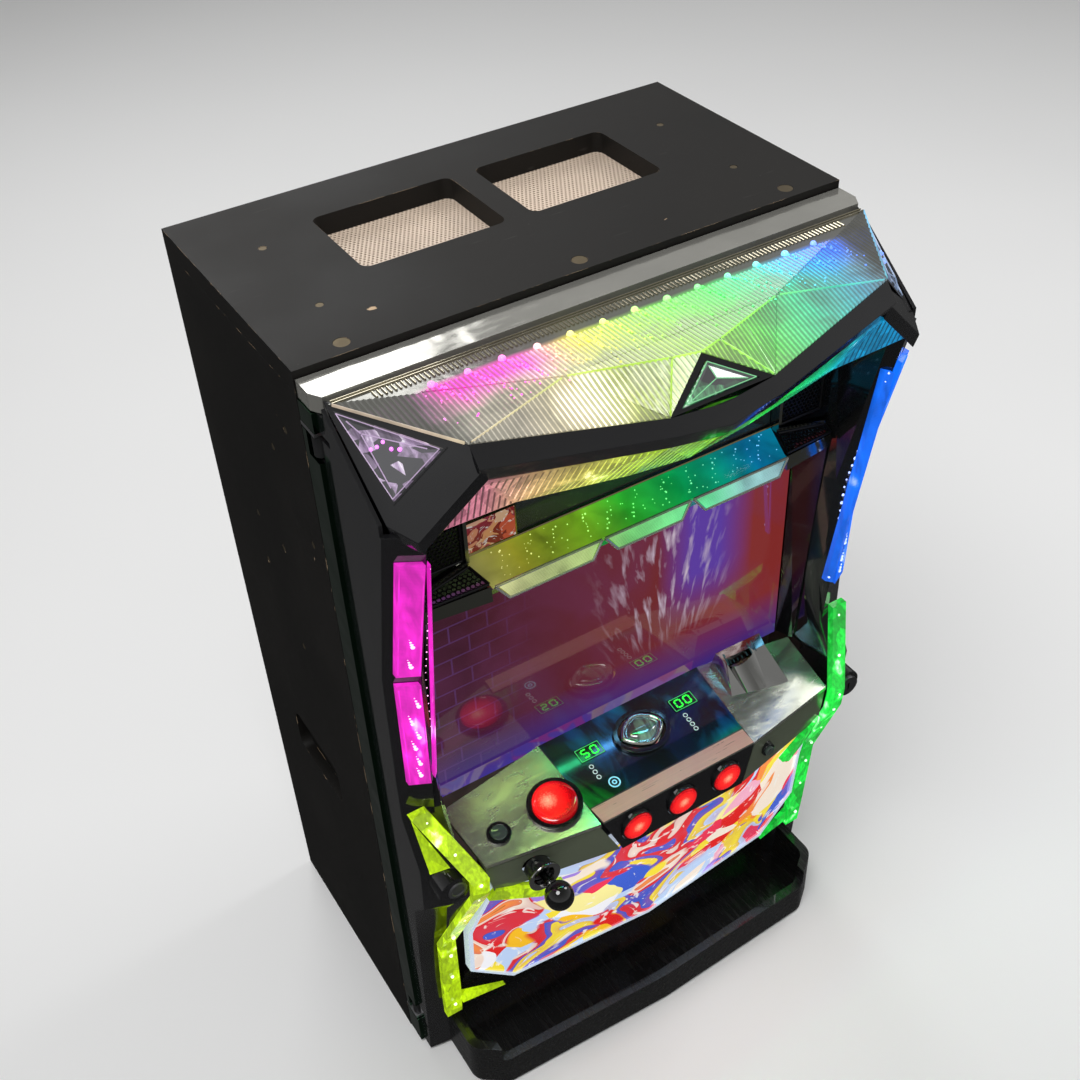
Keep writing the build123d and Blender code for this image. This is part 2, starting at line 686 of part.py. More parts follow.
def console_holes():
    oval = extrude(Ellipse(CHANCE_W / 2 + 2, CHANCE_H / 2 + 2), 40)
    holes = [on_console(*CHANCE, -20) * oval]
    for spot, radius in ((MAX_BET, MAX_BET_R + 2), (BET_ONE, BET_ONE_R + 1.5)):
        holes.append(on_console(*spot) * Cylinder(radius, 40))
    holes += [on_console(*spot) * Box(DIGIT_W + 2 * FIT, DIGIT_H + 2 * FIT, 20) for spot in DIGITS]
    return holes


def console_plates():
    """Bright side plates, the bright lip in front of the middle plate, all thin and flat."""
    corners = [console_corner(-CON_BACK_X, -44), console_corner(-SEAM_X - FIT, CON_BACK_Y),
               console_corner(-CON_FRONT_X - FIT, CON_FRONT_Y), console_corner(-CON_SIDE_X, CON_SIDE_Y)]
    left = fan(corners, (0, 0, -PLATE_T))
    right = flip(left)
    for hole in console_holes():
        left -= hole
    lip = fan([(-CON_FRONT_X, LIP_Y, LIP_Z), (CON_FRONT_X, LIP_Y, LIP_Z),
               (CON_FRONT_X - 1, STRIP_TOP_Y, LIP_Z), (1 - CON_FRONT_X, STRIP_TOP_Y, LIP_Z)], (0, 0, -2))
    return [cut(left, *pillars()), cut(right, inlet_blank(), *pillars()), lip]


def console_centre():
    front_x = CON_FRONT_X + 0.8
    plate = fan([console_corner(-SEAM_X, CON_BACK_Y), console_corner(SEAM_X, CON_BACK_Y),
                 console_corner(front_x, LIP_Y + FIT), console_corner(-front_x, LIP_Y + FIT)],
                (0, 0, -PLATE_T))
    for hole in console_holes():
        plate -= hole
    return plate


def stop_strip():
    top_x, low_x = CON_FRONT_X - 1, 66
    strip = fan([(-top_x, STRIP_TOP_Y, STRIP_TOP), (-low_x, STRIP_LOW_Y, STRIP_LOW),
                 (low_x, STRIP_LOW_Y, STRIP_LOW), (top_x, STRIP_TOP_Y, STRIP_TOP)], (0, 6, 0))
    for x in STOP_XS:
        strip -= rod(x, STOP_Y, STOP_Z, STOP_R + 2.1, 30, (90, 0, 0))
    return strip


def front_panel():
    corners = [(-84, -129.5, 352), (-187, -108, 345), (-181, -110, 312), (-68, -136.5, STRIP_LOW)]
    return fan(corners, (0, 5, 0))


def console_fronts():
    left = front_panel() - rod(LEVER_X, LEVER_Y, LEVER_Z, 12.5, 60, (90, 0, 0))
    right = flip(front_panel()) - rod(RETURN_X, RETURN_Y, RETURN_Z, RETURN_R + 2, 40, (90, 0, 0))
    return [left, right]


def inlet_blank():
    base = [(94, -39, 350), (168, -39, 350), (160, -96, 350), (92, -92, 350)]
    rise = [(x, y, 388 + 0.2 * (y + 44) - 0.03 * (x - 104))
            for x, y in ((104, -44), (156, -44), (152, -57), (106, -59))]
    return bar([base, rise])


def medal_inlet():
    """Bright block with a half-round guide that leads medals into an upright slot."""
    body = inlet_blank() - Pos(SLOT_X, SLOT_Y, 370) * Box(SLOT_W, SLOT_T, 60)
    slide = rod(SLOT_X, SLOT_Y + 2, GUIDE_Z, GUIDE_R, 120, (90 - GUIDE_FALL, 0, 0))
    front_half = block(SLOT_X - 40, SLOT_X + 40, -140, SLOT_Y + SLOT_T / 2, 340, 440)
    return cut(body, slide & front_half)


def digit_displays():
    return [on_console(*spot, -2.6) * Box(DIGIT_W, DIGIT_H, 6) for spot in DIGITS]


def ring(spot, inner, outer, low, high):
    pipe = Cylinder(outer, high - low) - Cylinder(inner, high - low + 1)
    return on_console(*spot) * Pos(0, 0, (low + high) / 2) * pipe


def button_bezels():
    """Collars of the bet buttons, chance button, stop buttons, return button and lever."""
    collars = []
    for spot, radius, flange, height in ((MAX_BET, MAX_BET_R, 5.0, 4.0), (BET_ONE, BET_ONE_R, 3.5, 2.6)):
        pipe = ring(spot, radius + BUTTON_GAP, radius + 1.4, -10, height)
        collars.append(pipe + ring(spot, radius + BUTTON_GAP, radius + flange, 0.6, height))
    oval = extrude(Ellipse(CHANCE_W / 2 + 5, CHANCE_H / 2 + 5), 3.5)
    oval -= Pos(0, 0, -1) * extrude(Ellipse(CHANCE_W / 2 + BUTTON_GAP, CHANCE_H / 2 + BUTTON_GAP), 8)
    collars.append(on_console(*CHANCE, 0.2) * oval)
    for x in STOP_XS:
        tube = Cylinder(STOP_R + 1.8, 12) - Cylinder(STOP_R + BUTTON_GAP, 14)
        collars.append(Pos(x, STOP_Y + 3.5, STOP_Z) * Rot(90, 0, 0) * tube)
    tube = Cylinder(RETURN_R + 1.8, 14) - Cylinder(RETURN_R + BUTTON_GAP, 16)
    collars.append(Pos(RETURN_X, RETURN_Y + 4.5, RETURN_Z) * Rot(90, 0, 0) * tube)
    dome = Cylinder(12.2, 14) - Cylinder(9.6, 16)
    flange = Pos(0, 0, 6.5) * (Cylinder(15, 2.5) - Cylinder(9.6, 4))
    collars.append(Pos(LEVER_X, LEVER_Y, LEVER_Z) * Rot(90, 0, 0) * (dome + flange))
    return collars


# ---------------------------------------------------------------- buttons, lever, key

def round_button(radius, stem, proud):
    cap = Pos(0, 0, (proud - stem) / 2) * Cylinder(radius, proud + stem)
    return chamfer(cap.faces().sort_by(Axis.Z)[-1].edges(), min(1.5, radius / 4))


def chance_button():
    cap = Pos(0, 0, -8) * extrude(Ellipse(CHANCE_W / 2, CHANCE_H / 2), 15)
    return on_console(*CHANCE) * chamfer(cap.faces().sort_by(Axis.Z)[-1].edges(), 3)


def lever_gimbal():
    """Small ring inside the lever's collar: it rocks up and down, the lever rocks in it."""
    hoop = Cylinder(8.6, 5) - Cylinder(6.4, 7)
    pins = [Pos(side * 8.7, 0, 0) * Rot(0, 90, 0) * Cylinder(PIVOT_PIN_R, 1.4) for side in (-1, 1)]
    return Pos(LEVER_X, LEVER_Y, LEVER_Z) * Rot(90, 0, 0) * (hoop + pins[0] + pins[1])


def start_lever():
    shaft = Cylinder(3, 36)
    boss = Pos(0, 0, -9) * Cylinder(4.8, 16)
    lever = Pos(LEVER_X, LEVER_Y - 3, LEVER_Z) * Rot(90, 0, 0) * (shaft + boss)
    return lever + rod(LEVER_X, LEVER_Y, LEVER_Z, PIVOT_PIN_R, 12)


def lever_ball():
    ball = Pos(LEVER_X, LEVER_Y - 31, LEVER_Z) * Sphere(BALL_R)
    return ball - rod(LEVER_X, LEVER_Y - 3, LEVER_Z, 3, 36, (90, 0, 0))


def key_cylinder():
    """Lock barrel with its keyway, tail shaft and cam."""
    barrel = rod(KEY_X, -86, KEY_Z, KEY_R, 48, (90, 0, 0))
    barrel -= block(KEY_X - 1, KEY_X + 1, -112, -98, KEY_Z - 4.5, KEY_Z + 4.5)
    barrel += rod(KEY_X, -40, KEY_Z, 4, 46, (90, 0, 0))
    barrel += block(KEY_X - 15.5, KEY_X, -21.2, -18, KEY_Z - CAM_HALF, KEY_Z + CAM_HALF)
    return barrel


# ---------------------------------------------------------------- lower door

def art_points(grow, back):
    """Outline of the lower panel's faceted face, left half and middle."""
    return {
        "top": (0, -130 + back, 315 + grow), "top_l": (-82, -127 + back, 313 + grow),
        "shoulder_l": (-176 - grow, -102 + back, 302 + grow), "side_l": (-192 - grow, -76 + back, 218),
        "heel_l": (-192 - grow, -71 + back, 152), "foot_l": (-151 - grow / 2, -75 + back, 117 - grow),
        "foot": (0, -88 + back, 117 - grow),
    }


ART_FACES = (("top", "top_l", "foot"), ("top_l", "foot_l", "foot"), ("top_l", "shoulder_l", "side_l"),
             ("top_l", "side_l", "heel_l"), ("top_l", "heel_l", "foot_l"))


def art_sheet(grow, back, thick):
    points = art_points(grow, back)
    right = {name[:-1] + "r": flip_point(p) for name, p in points.items() if name.endswith("_l")}
    faces = [list(face) for face in ART_FACES]
    faces += [[n[:-1] + "r" if n.endswith("_l") else n for n in reversed(face)] for face in ART_FACES]
    return sheet({**points, **right}, faces, (0, thick, 0))


def art_panel():
    return cut(art_sheet(0, 0.6, 3), *console_fronts(), stop_strip())


def art_frame():
    frame = art_sheet(4, 0, 10) - art_sheet(0.2, -4, 40)
    return cut(frame, *console_fronts(), stop_strip(), *pillars())


def tray_outline(grow):
    half = 214 + grow
    return Polygon((-half, -14), (-half, -92 - grow), (-186, -113 - grow), (0, -121 - grow),
                   (186, -113 - grow), (half, -92 - grow), (half, -14), align=None)


def medal_tray():
    """Deep payout tray: rim that stands up at the ends, apron up to the lower panel."""
    outer = tray_outline(0)
    inner = offset(outer, -9, kind=Kind.INTERSECTION)
    front_corners = outer.vertices().filter_by_position(Axis.Y, -200, -80)
    hull = Pos(0, 0, 3) * extrude(fillet(front_corners, 18), 58)
    pocket = extrude(fillet(inner.vertices(), 14), 80)
    hull -= Pos(0, 0, 9) * pocket
    dip = Pos(0, -68, 60) * Box(380, 240, 34)
    hull -= dip & Pos(0, -100, 60) * Box(392, 60, 40)
    apron = fan([(-192, -46, 112), (192, -46, 112), (192, -30, 60), (-192, -30, 60)], (0, 3, 0))
    apron -= block(CHUTE_X0, CHUTE_X1, -60, 0, CHUTE_LOW, CHUTE_TOP)
    return [cut(hull, *pillars(), art_frame()), cut(apron, *pillars(), art_frame(), hull)]


# ---------------------------------------------------------------- write every node

save("side_panel_left", side_panel())
save("side_panel_right", flip(side_panel()))
save("top_panel", top_panel())
save("bottom_panel", block(-INNER, INNER, 0, CAB_D - BACK_BOARD, 0, BOARD))
save("back_panel", back_panel())
save("reel_shelf", block(-INNER, INNER, 20, CAB_D - BACK_BOARD, SHELF_Z, SHELF_Z + SHELF_T))
save("vent_meshes", *vent_meshes())
save("panel_screws", *panel_screws())
save("hinge_brackets", *hinge_brackets())
save("power_unit", *power_unit())
save("power_switch", power_switch())
save("hopper_base", hopper_base())
save("hopper_disc", hopper_disc())
save("hopper_bucket", hopper_bucket())
save("overflow_tank", overflow_tank())
save("main_board_case", main_board_case())
save("reel_frame", reel_frame())
save("reel_motors", *reel_motors())
for reel_name, reel_x in zip(("reel_left", "reel_centre", "reel_right"), reel_centres()):
    save(reel_name, reel(reel_x))

save("door_frame", door_frame())
save("pillars", *pillars())
save("side_trims", *side_trims())
save("chrome_header", chrome_header())
save("top_lens", top_lens())
save("brow_band", brow_band())
save("corner_frames", *corner_frames())
save("brow_gems", *brow_gems())
save("brow_lower_lens", brow_lower_lens())
save("shelf_lens", *shelf_lens())
save("chrome_trims", *chrome_trims())
save("speaker_grilles", *speaker_grilles())
save("speaker_drivers", *speaker_drivers())
save("reel_window", block(-WINDOW_X, WINDOW_X, WINDOW_Y, WINDOW_Y + 3, WINDOW_LOW, WINDOW_TOP))
save("screen", block(-SCREEN_W / 2, SCREEN_W / 2, SCREEN_Y, FRAME_FRONT - 1, SCREEN_LOW, SCREEN_TOP))
save("window_bezel", *window_bezel())
save("pillar_lamps", *pillar_lamps())
save("arm_lenses", *arm_lenses())
save("console_plates", *console_plates())
save("console_centre", console_centre())
save("console_fronts", *console_fronts())
save("stop_strip", stop_strip())
save("medal_inlet", medal_inlet())
save("digit_displays", *digit_displays())
save("button_bezels", *button_bezels())
save("art_panel", art_panel())
save("art_frame", art_frame())
save("medal_tray", *medal_tray())

save("max_bet_button", on_console(*MAX_BET) * round_button(MAX_BET_R, 12, 8))
save("bet_one_button", on_console(*BET_ONE) * round_button(BET_ONE_R, 10, 5))
save("chance_button", chance_button())
for stop_name, stop_x in zip(("stop_left", "stop_centre", "stop_right"), STOP_XS):
    save(stop_name, Pos(stop_x, STOP_Y, STOP_Z) * Rot(90, 0, 0) * round_button(STOP_R, 10, 4))
save("return_button", Pos(RETURN_X, RETURN_Y, RETURN_Z) * Rot(90, 0, 0) * round_button(RETURN_R, 10, 5))
save("lever_gimbal", lever_gimbal())
save("start_lever", start_lever())
save("lever_ball", lever_ball())
save("key_cylinder", key_cylinder())
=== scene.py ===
"""Looks of a pachislot machine: its finishes and fine shapes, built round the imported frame."""
import json
import logging
import math
import random
from dataclasses import dataclass, field
from enum import Enum
from typing import Any, Iterable, Sequence

import bmesh
import bpy
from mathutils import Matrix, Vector

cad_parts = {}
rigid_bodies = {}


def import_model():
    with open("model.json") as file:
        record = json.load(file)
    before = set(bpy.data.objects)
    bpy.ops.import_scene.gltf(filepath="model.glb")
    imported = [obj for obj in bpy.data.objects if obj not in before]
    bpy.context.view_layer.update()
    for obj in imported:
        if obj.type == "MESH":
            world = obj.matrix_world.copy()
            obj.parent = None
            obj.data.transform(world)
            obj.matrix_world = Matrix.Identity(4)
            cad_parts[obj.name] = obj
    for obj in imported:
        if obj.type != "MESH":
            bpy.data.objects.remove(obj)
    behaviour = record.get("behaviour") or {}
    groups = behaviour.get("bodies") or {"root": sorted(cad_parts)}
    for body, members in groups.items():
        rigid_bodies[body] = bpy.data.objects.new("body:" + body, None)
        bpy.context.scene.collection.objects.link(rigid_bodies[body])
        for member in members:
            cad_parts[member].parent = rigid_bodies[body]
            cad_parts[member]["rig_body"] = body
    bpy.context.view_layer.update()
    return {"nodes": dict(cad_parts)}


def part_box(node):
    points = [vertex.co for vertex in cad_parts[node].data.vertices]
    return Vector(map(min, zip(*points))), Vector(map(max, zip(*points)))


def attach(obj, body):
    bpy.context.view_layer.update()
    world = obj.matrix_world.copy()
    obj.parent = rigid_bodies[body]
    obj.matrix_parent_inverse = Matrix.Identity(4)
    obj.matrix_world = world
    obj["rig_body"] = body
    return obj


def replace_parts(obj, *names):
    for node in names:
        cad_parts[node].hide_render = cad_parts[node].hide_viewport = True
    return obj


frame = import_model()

LOG = logging.getLogger("machine")
Colour = tuple[float, float, float]
Stops = tuple[tuple[float, Colour], ...]

MM = 0.001
FRONT_EDGE_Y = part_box("top_panel")[0].y
HALF_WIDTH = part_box("top_panel")[1].x
UP = Vector((0, 0, 1))
FORWARD = Vector((0, -1, 0))

# A bead's section as shares of its radius: out from its axis, then up along it.
BEAD_SECTION = ((1.0, -0.3), (1.0, 0.0), (0.86, 0.42), (0.5, 0.72), (0.0, 0.82))
# The lit strokes of the displays' figures, and each stroke's two ends in half widths and half rises.
STROKES = {"0": "abcdef", "5": "acdfg"}
STROKE_ENDS = {"a": ((-1, 2), (1, 2)), "b": ((1, 2), (1, 0)), "c": ((1, 0), (1, -2)),
               "d": ((-1, -2), (1, -2)),
               "e": ((-1, 0), (-1, -2)), "f": ((-1, 2), (-1, 0)), "g": ((-1, 0), (1, 0))}


def at(x: float, y: float, z: float) -> Vector:
    """A place in the frame from millimetres, with y = 0 at the cabinet's front edge.

    Args:
        x: Across, to the right.
        y: Back from the front edge.
        z: Up.

    Returns:
        The place, in metres.
    """
    return Vector((x * MM, FRONT_EDGE_Y + y * MM, z * MM))


def mirrored(point: Vector) -> Vector:
    """The same place on the machine's other side.

    Args:
        point: The place.

    Returns:
        Its mirror image.
    """
    return Vector((-point.x, point.y, point.z))


def around(loop: Sequence[Any]) -> list[tuple[Any, Any]]:
    """Each member of a closed loop with the next one.

    Args:
        loop: The loop, in order.

    Returns:
        The pairs, the last one with the first.
    """
    return list(zip(loop, [*loop[1:], loop[0]]))


# ------------------------------------------------------------------ node graphs


class Graph:
    """A material's nodes, written as calls that return sockets."""

    def __init__(self, name: str) -> None:
        """Start an empty material.

        Args:
            name: The material's name.
        """
        self.material = bpy.data.materials.new(name)
        self.material.use_nodes = True
        self.tree = self.material.node_tree
        self.tree.nodes.clear()

    def node(self, kind: str, inputs: dict[Any, Any] | None = None, **settings: Any) -> bpy.types.Node:
        """Add one node.

        Args:
            kind: The node's type name.
            inputs: Values or sockets for its inputs, by name or number.
            **settings: Properties of the node itself.

        Returns:
            The new node.
        """
        made = self.tree.nodes.new(kind)
        for key, value in settings.items():
            setattr(made, key, value)
        for key, value in (inputs or {}).items():
            if isinstance(value, bpy.types.NodeSocket):
                self.tree.links.new(value, made.inputs[key])
            elif isinstance(value, tuple) and len(value) == 3 and made.inputs[key].type == "RGBA":
                made.inputs[key].default_value = (*value, 1.0)
            else:
                made.inputs[key].default_value = value
        return made

    def place(self) -> bpy.types.NodeSocket:
        """The point's place in its own piece, in metres.

        Returns:
            The place, as a vector socket.
        """
        return self.node("ShaderNodeTexCoord").outputs["Object"]

    def axes(self, vector: bpy.types.NodeSocket) -> list[bpy.types.NodeSocket]:
        """The x, y and z of a vector.

        Args:
            vector: The vector.

        Returns:
            Three sockets.
        """
        return list(self.node("ShaderNodeSeparateXYZ", {0: vector}).outputs)

    def calc(self, operation: str, a: Any, b: Any = 0.0, clamp: bool = False) -> bpy.types.NodeSocket:
        """One step of arithmetic.

        Args:
            operation: The Math node's operation.
            a: First value or socket.
            b: Second value or socket.
            clamp: Keep the result from 0 to 1.

        Returns:
            The result.
        """
        return self.node("ShaderNodeMath", {0: a, 1: b}, operation=operation, use_clamp=clamp).outputs[0]

    def fade(self, value: Any, low: float, high: float, first: float = 0.0, last: float = 1.0) -> Any:
        """Carry a value from one range to another, held at both ends.

        Args:
            value: The value.
            low: Where the fade starts.
            high: Where the fade ends.
            first: Result at low.
            last: Result at high.

        Returns:
            The faded value.
        """
        inputs = {"Value": value, "From Min": low, "From Max": high, "To Min": first, "To Max": last}
        return self.node("ShaderNodeMapRange", inputs).outputs["Result"]

    def stretch(self, vector: Any, scale: Colour, turn: Colour = (0, 0, 0)) -> bpy.types.NodeSocket:
        """Scale and turn a vector.

        Args:
            vector: The vector.
            scale: Factors along x, y and z.
            turn: Turns round x, y and z, in radians.

        Returns:
            The changed vector.
        """
        return self.node("ShaderNodeMapping", {"Vector": vector, "Scale": scale, "Rotation": turn}).outputs[0]

    def noise(self, vector: Any, scale: float, detail: float = 3.0,
              warp: float = 0.0) -> bpy.types.NodeSocket:
        """Cloudy noise from 0 to 1.

        Args:
            vector: Where it is read.
            scale: Cycles per metre.
            detail: How many finer layers it has.
            warp: How far it is distorted.

        Returns:
            The noise value.
        """
        inputs = {"Vector": vector, "Scale": scale, "Detail": detail, "Distortion": warp}
        return self.node("ShaderNodeTexNoise", inputs).outputs[0]

    def cells(self, vector: Any, scale: float, feature: str = "F1") -> bpy.types.Node:
        """Irregular cells; its outputs are Distance and, but for edges, Color.

        Args:
            vector: The place.
            scale: Cells in a metre, about.
            feature: The Voronoi node's feature.

        Returns:
            The node.
        """
        return self.node("ShaderNodeTexVoronoi", {"Vector": vector, "Scale": scale}, feature=feature)

    def ramp(self, value: Any, stops: Stops, step: bool = False) -> bpy.types.NodeSocket:
        """Turn a value from 0 to 1 into a colour.

        Args:
            value: The value.
            stops: Places and colours along the ramp.
            step: Hard borders instead of a smooth change.

        Returns:
            The colour.
        """
        made = self.node("ShaderNodeValToRGB", {0: value})
        made.color_ramp.interpolation = "CONSTANT" if step else "LINEAR"
        elements = made.color_ramp.elements
        elements[0].position, elements[0].color = stops[0][0], (*stops[0][1], 1)
        elements[1].position, elements[1].color = stops[-1][0], (*stops[-1][1], 1)
        for position, colour in stops[1:-1]:
            elements.new(position).color = (*colour, 1)
        return made.outputs[0]

    def mix(self, share: Any, a: Any, b: Any, way: str = "MIX") -> bpy.types.NodeSocket:
        """Mix two colours.

        Args:
            share: 0 for the first colour, 1 for the second.
            a: First colour.
            b: Second colour.
            way: The blend type.

        Returns:
            The mixed colour.
        """
        made = self.node("ShaderNodeMix", data_type="RGBA", blend_type=way)
        for key, value in ((0, share), (6, a), (7, b)):
            if isinstance(value, bpy.types.NodeSocket):
                self.tree.links.new(value, made.inputs[key])
            elif key:
                made.inputs[key].default_value = (*value, 1.0)
            else:
                made.inputs[key].default_value = value
        return made.outputs[2]

    def bump(self, height: Any, depth: float, strength: float = 0.5) -> bpy.types.NodeSocket:
        """A bumped normal from a height; depth is in metres.

        Args:
            height: The height, from 0 to 1.
            depth: Its full size.
            strength: Share of the effect.

        Returns:
            The normal.
        """
        inputs = {"Height": height, "Distance": depth, "Strength": strength}
        return self.node("ShaderNodeBump", inputs).outputs[0]

    def surface(self, inputs: dict[str, Any]) -> None:
        """Finish the material with one principled surface.

        Args:
            inputs: The shader's inputs by name.
        """
        shader = self.node("ShaderNodeBsdfPrincipled", inputs)
        self.node("ShaderNodeOutputMaterial", {"Surface": shader.outputs[0]})


# ------------------------------------------------------------------ finishes


class Finish:
    """A surface finish. Its material is made once, when a piece first needs it."""

    name: str
    made: dict[str, bpy.types.Material] = {}

    def write(self, graph: Graph) -> None:
        """Write the finish's nodes into a graph.

        Args:
            graph: The graph to write into.
        """
        raise NotImplementedError

    def material(self) -> bpy.types.Material:
        """The finish's material.

        Returns:
            The material.
        """
        if self.name not in Finish.made:
            graph = Graph(self.name)
            self.write(graph)
            Finish.made[self.name] = graph.material
        return Finish.made[self.name]


@dataclass(frozen=True)
class Board(Finish):
    """Matte black board that shows pale wood where an edge or a spot is chipped."""

    name: str = "matte_board"
    paint: Colour = (0.0065, 0.0058, 0.005)
    dusty: Colour = (0.0125, 0.0112, 0.0098)
    wood: Colour = (0.42, 0.27, 0.15)

    def write(self, graph: Graph) -> None:
        """Dust clouds, long scuffs, chips and worn edges over the paint.

        Args:
            graph: The graph to write into.
        """
        place = graph.place()
        cloud = graph.noise(place, 7, 5)
        base = graph.mix(graph.fade(cloud, 0.35, 0.7), self.paint, self.dusty)
        scuff = graph.noise(graph.stretch(place, (9, 130, 30), (0.2, 0.1, 0.5)), 3.1, 6)
        base = graph.mix(graph.fade(scuff, 0.69, 0.75, 0, 0.25), base, (0.08, 0.075, 0.07))
        speck = graph.noise(place, 420, 2)
        base = graph.mix(graph.fade(speck, 0.76, 0.8, 0, 0.35), base, (0.22, 0.2, 0.18))
        edge = graph.node("ShaderNodeAttribute", attribute_name="edge").outputs["Fac"]
        worn = graph.calc("MULTIPLY", edge, graph.fade(graph.noise(place, 46, 6), 0.54, 0.6))
        chip = graph.fade(graph.noise(place, 33, 7, 0.4), 0.755, 0.765)
        bare = graph.calc("MAXIMUM", worn, chip)
        grain = graph.noise(graph.stretch(place, (1, 8, 1)), 260, 3)
        wood = graph.mix(grain, self.wood, (0.62, 0.46, 0.3))
        tooth = graph.noise(place, 1500, 2)
        height = graph.calc("SUBTRACT", graph.calc("MULTIPLY", tooth, 0.35), bare)
        graph.surface({
            "Base Color": graph.mix(bare, base, wood),
            "Roughness": graph.fade(cloud, 0.3, 0.7, 0.5, 0.66),
            "Normal": graph.bump(height, 0.0003, 0.5),
            "Specular IOR Level": 0.22,
        })


@dataclass(frozen=True)
class Gloss(Finish):
    """Moulded gloss plastic with a faint ripple, fine dust and hairline rubs."""

    name: str
    colour: Colour
    rough: float = 0.08
    ripple: float = 0.06

    def write(self, graph: Graph) -> None:
        """A rippled coat whose gloss is broken by dust and rubs.

        Args:
            graph: The graph to write into.
        """
        place = graph.place()
        cloud = graph.noise(place, 14, 4)
        rub = graph.noise(graph.stretch(place, (30, 4, 30), (0.3, 0.5, 0.2)), 9, 6)
        dust = graph.fade(graph.noise(place, 900, 2), 0.77, 0.8)
        tint = graph.mix(cloud, tuple(0.75 * c for c in self.colour), tuple(1.35 * c for c in self.colour))
        pale = tuple(min(1.0, 0.06 + 1.2 * c) for c in self.colour)
        rough = graph.fade(rub, 0.45, 0.75, self.rough, self.rough * 2.2)
        graph.surface({
            "Base Color": graph.mix(graph.calc("MULTIPLY", dust, 0.6), tint, pale),
            "Roughness": graph.calc("ADD", rough, graph.calc("MULTIPLY", dust, 0.3)),
            "Normal": graph.bump(graph.noise(place, 70, 2), 0.0012, self.ripple),
            "Coat Weight": 0.6,
            "Coat Roughness": 0.04,
        })


@dataclass(frozen=True)
class Satin(Finish):
    """Textured satin plastic or paint."""

    name: str
    colour: Colour
    rough: float = 0.45
    metal: float = 0.0

    def write(self, graph: Graph) -> None:
        """A fine spark-eroded tooth with slow colour and gloss changes.

        Args:
            graph: The graph to write into.
        """
        place = graph.place()
        cloud = graph.noise(place, 18, 4)
        tooth = graph.noise(place, 1300, 3)
        dark, light = (tuple(k * c for c in self.colour) for k in (0.8, 1.2))
        graph.surface({
            "Base Color": graph.mix(cloud, dark, light),
            "Roughness": graph.fade(graph.noise(place, 60, 4), 0.3, 0.7, self.rough - 0.08,
                                    self.rough + 0.12),
            "Metallic": self.metal,
            "Normal": graph.bump(tooth, 0.0002, 0.35),
        })


@dataclass(frozen=True)
class Plated(Finish):
    """Vacuum-plated plastic: mirror bright, slightly wavy, with smears and tiny pits."""

    name: str
    colour: Colour = (0.50, 0.51, 0.49)
    rough: float = 0.05
    wave: float = 0.25
    brushed: float = 0.0
    metal: float = 1.0

    def write(self, graph: Graph) -> None:
        """A wavy mirror with smears and, if asked for, a brushed grain from side to side.

        Args:
            graph: The graph to write into.
        """
        place = graph.place()
        smear = graph.noise(graph.stretch(place, (8, 26, 12)), 6, 6, 0.6)
        pit = graph.fade(graph.noise(place, 700, 2), 0.75, 0.8)
        grain = graph.noise(graph.stretch(place, (1, 40, 40)), 24, 3)
        shade = graph.calc("ADD", graph.noise(place, 11, 3), graph.calc("MULTIPLY", grain, self.brushed))
        tint = graph.mix(shade, tuple(0.6 * c for c in self.colour), self.colour)
        rough = graph.fade(smear, 0.4, 0.75, self.rough, self.rough + 0.14)
        height = graph.calc("SUBTRACT", graph.noise(place, 16, 2), graph.calc("MULTIPLY", pit, 0.05))
        height = graph.calc("ADD", height, graph.calc("MULTIPLY", grain, 0.02 * self.brushed))
        graph.surface({
            "Base Color": graph.mix(graph.calc("MULTIPLY", pit, 0.5), tint, (0.1, 0.1, 0.1)),
            "Metallic": self.metal,
            "Roughness": graph.calc("ADD", rough, graph.calc("MULTIPLY", grain, 0.22 * self.brushed)),
            "Normal": graph.bump(height, 0.004, self.wave),
        })


class Pattern(Enum):
    """How the plastic of a lit lens is moulded."""

    TUBE = "tube"
    CUT_GLASS = "cut glass"
    CLOUD = "cloud"
    RIBS = "ribs"


MAGENTA: Colour = (0.95, 0.02, 0.55)
LIME: Colour = (0.42, 0.80, 0.02)
YELLOW: Colour = (0.85, 0.70, 0.04)
GREEN: Colour = (0.01, 0.80, 0.06)
TEAL: Colour = (0.0, 0.72, 0.36)
CYAN: Colour = (0.0, 0.42, 0.80)
BLUE: Colour = (0.005, 0.15, 0.95)
WHITE: Colour = (1.0, 1.0, 1.0)
RAINBOW: Stops = (
    (0.10, (0.6, 0.25, 0.6)), (0.15, MAGENTA), (0.29, MAGENTA), (0.33, (0.85, 0.35, 0.3)), (0.37, YELLOW),
    (0.45, LIME), (0.53, (0.15, 0.85, 0.03)), (0.62, GREEN), (0.70, TEAL), (0.76, CYAN), (0.84, BLUE),
    (0.93, BLUE),
)
LENS_FRONT: Stops = (
    (0.12, (0.34, 0.33, 0.28)), (0.22, (0.62, 0.55, 0.42)), (0.30, (0.85, 0.75, 0.45)),
    (0.38, (0.60, 0.70, 0.18)),
    (0.50, (0.38, 0.72, 0.08)), (0.62, (0.14, 0.70, 0.12)), (0.72, (0.06, 0.62, 0.34)),
    (0.82, (0.05, 0.42, 0.62)),
    (0.90, (0.22, 0.38, 0.55)),
)
AWNING: Stops = (
    (0.17, (0.35, 0.33, 0.12)), (0.27, (0.42, 0.42, 0.03)), (0.40, (0.25, 0.62, 0.02)),
    (0.48, (0.04, 0.70, 0.04)),
    (0.58, (0.0, 0.60, 0.12)), (0.66, (0.0, 0.50, 0.30)), (0.74, (0.0, 0.28, 0.60)),
    (0.82, (0.0, 0.40, 0.62)),
)
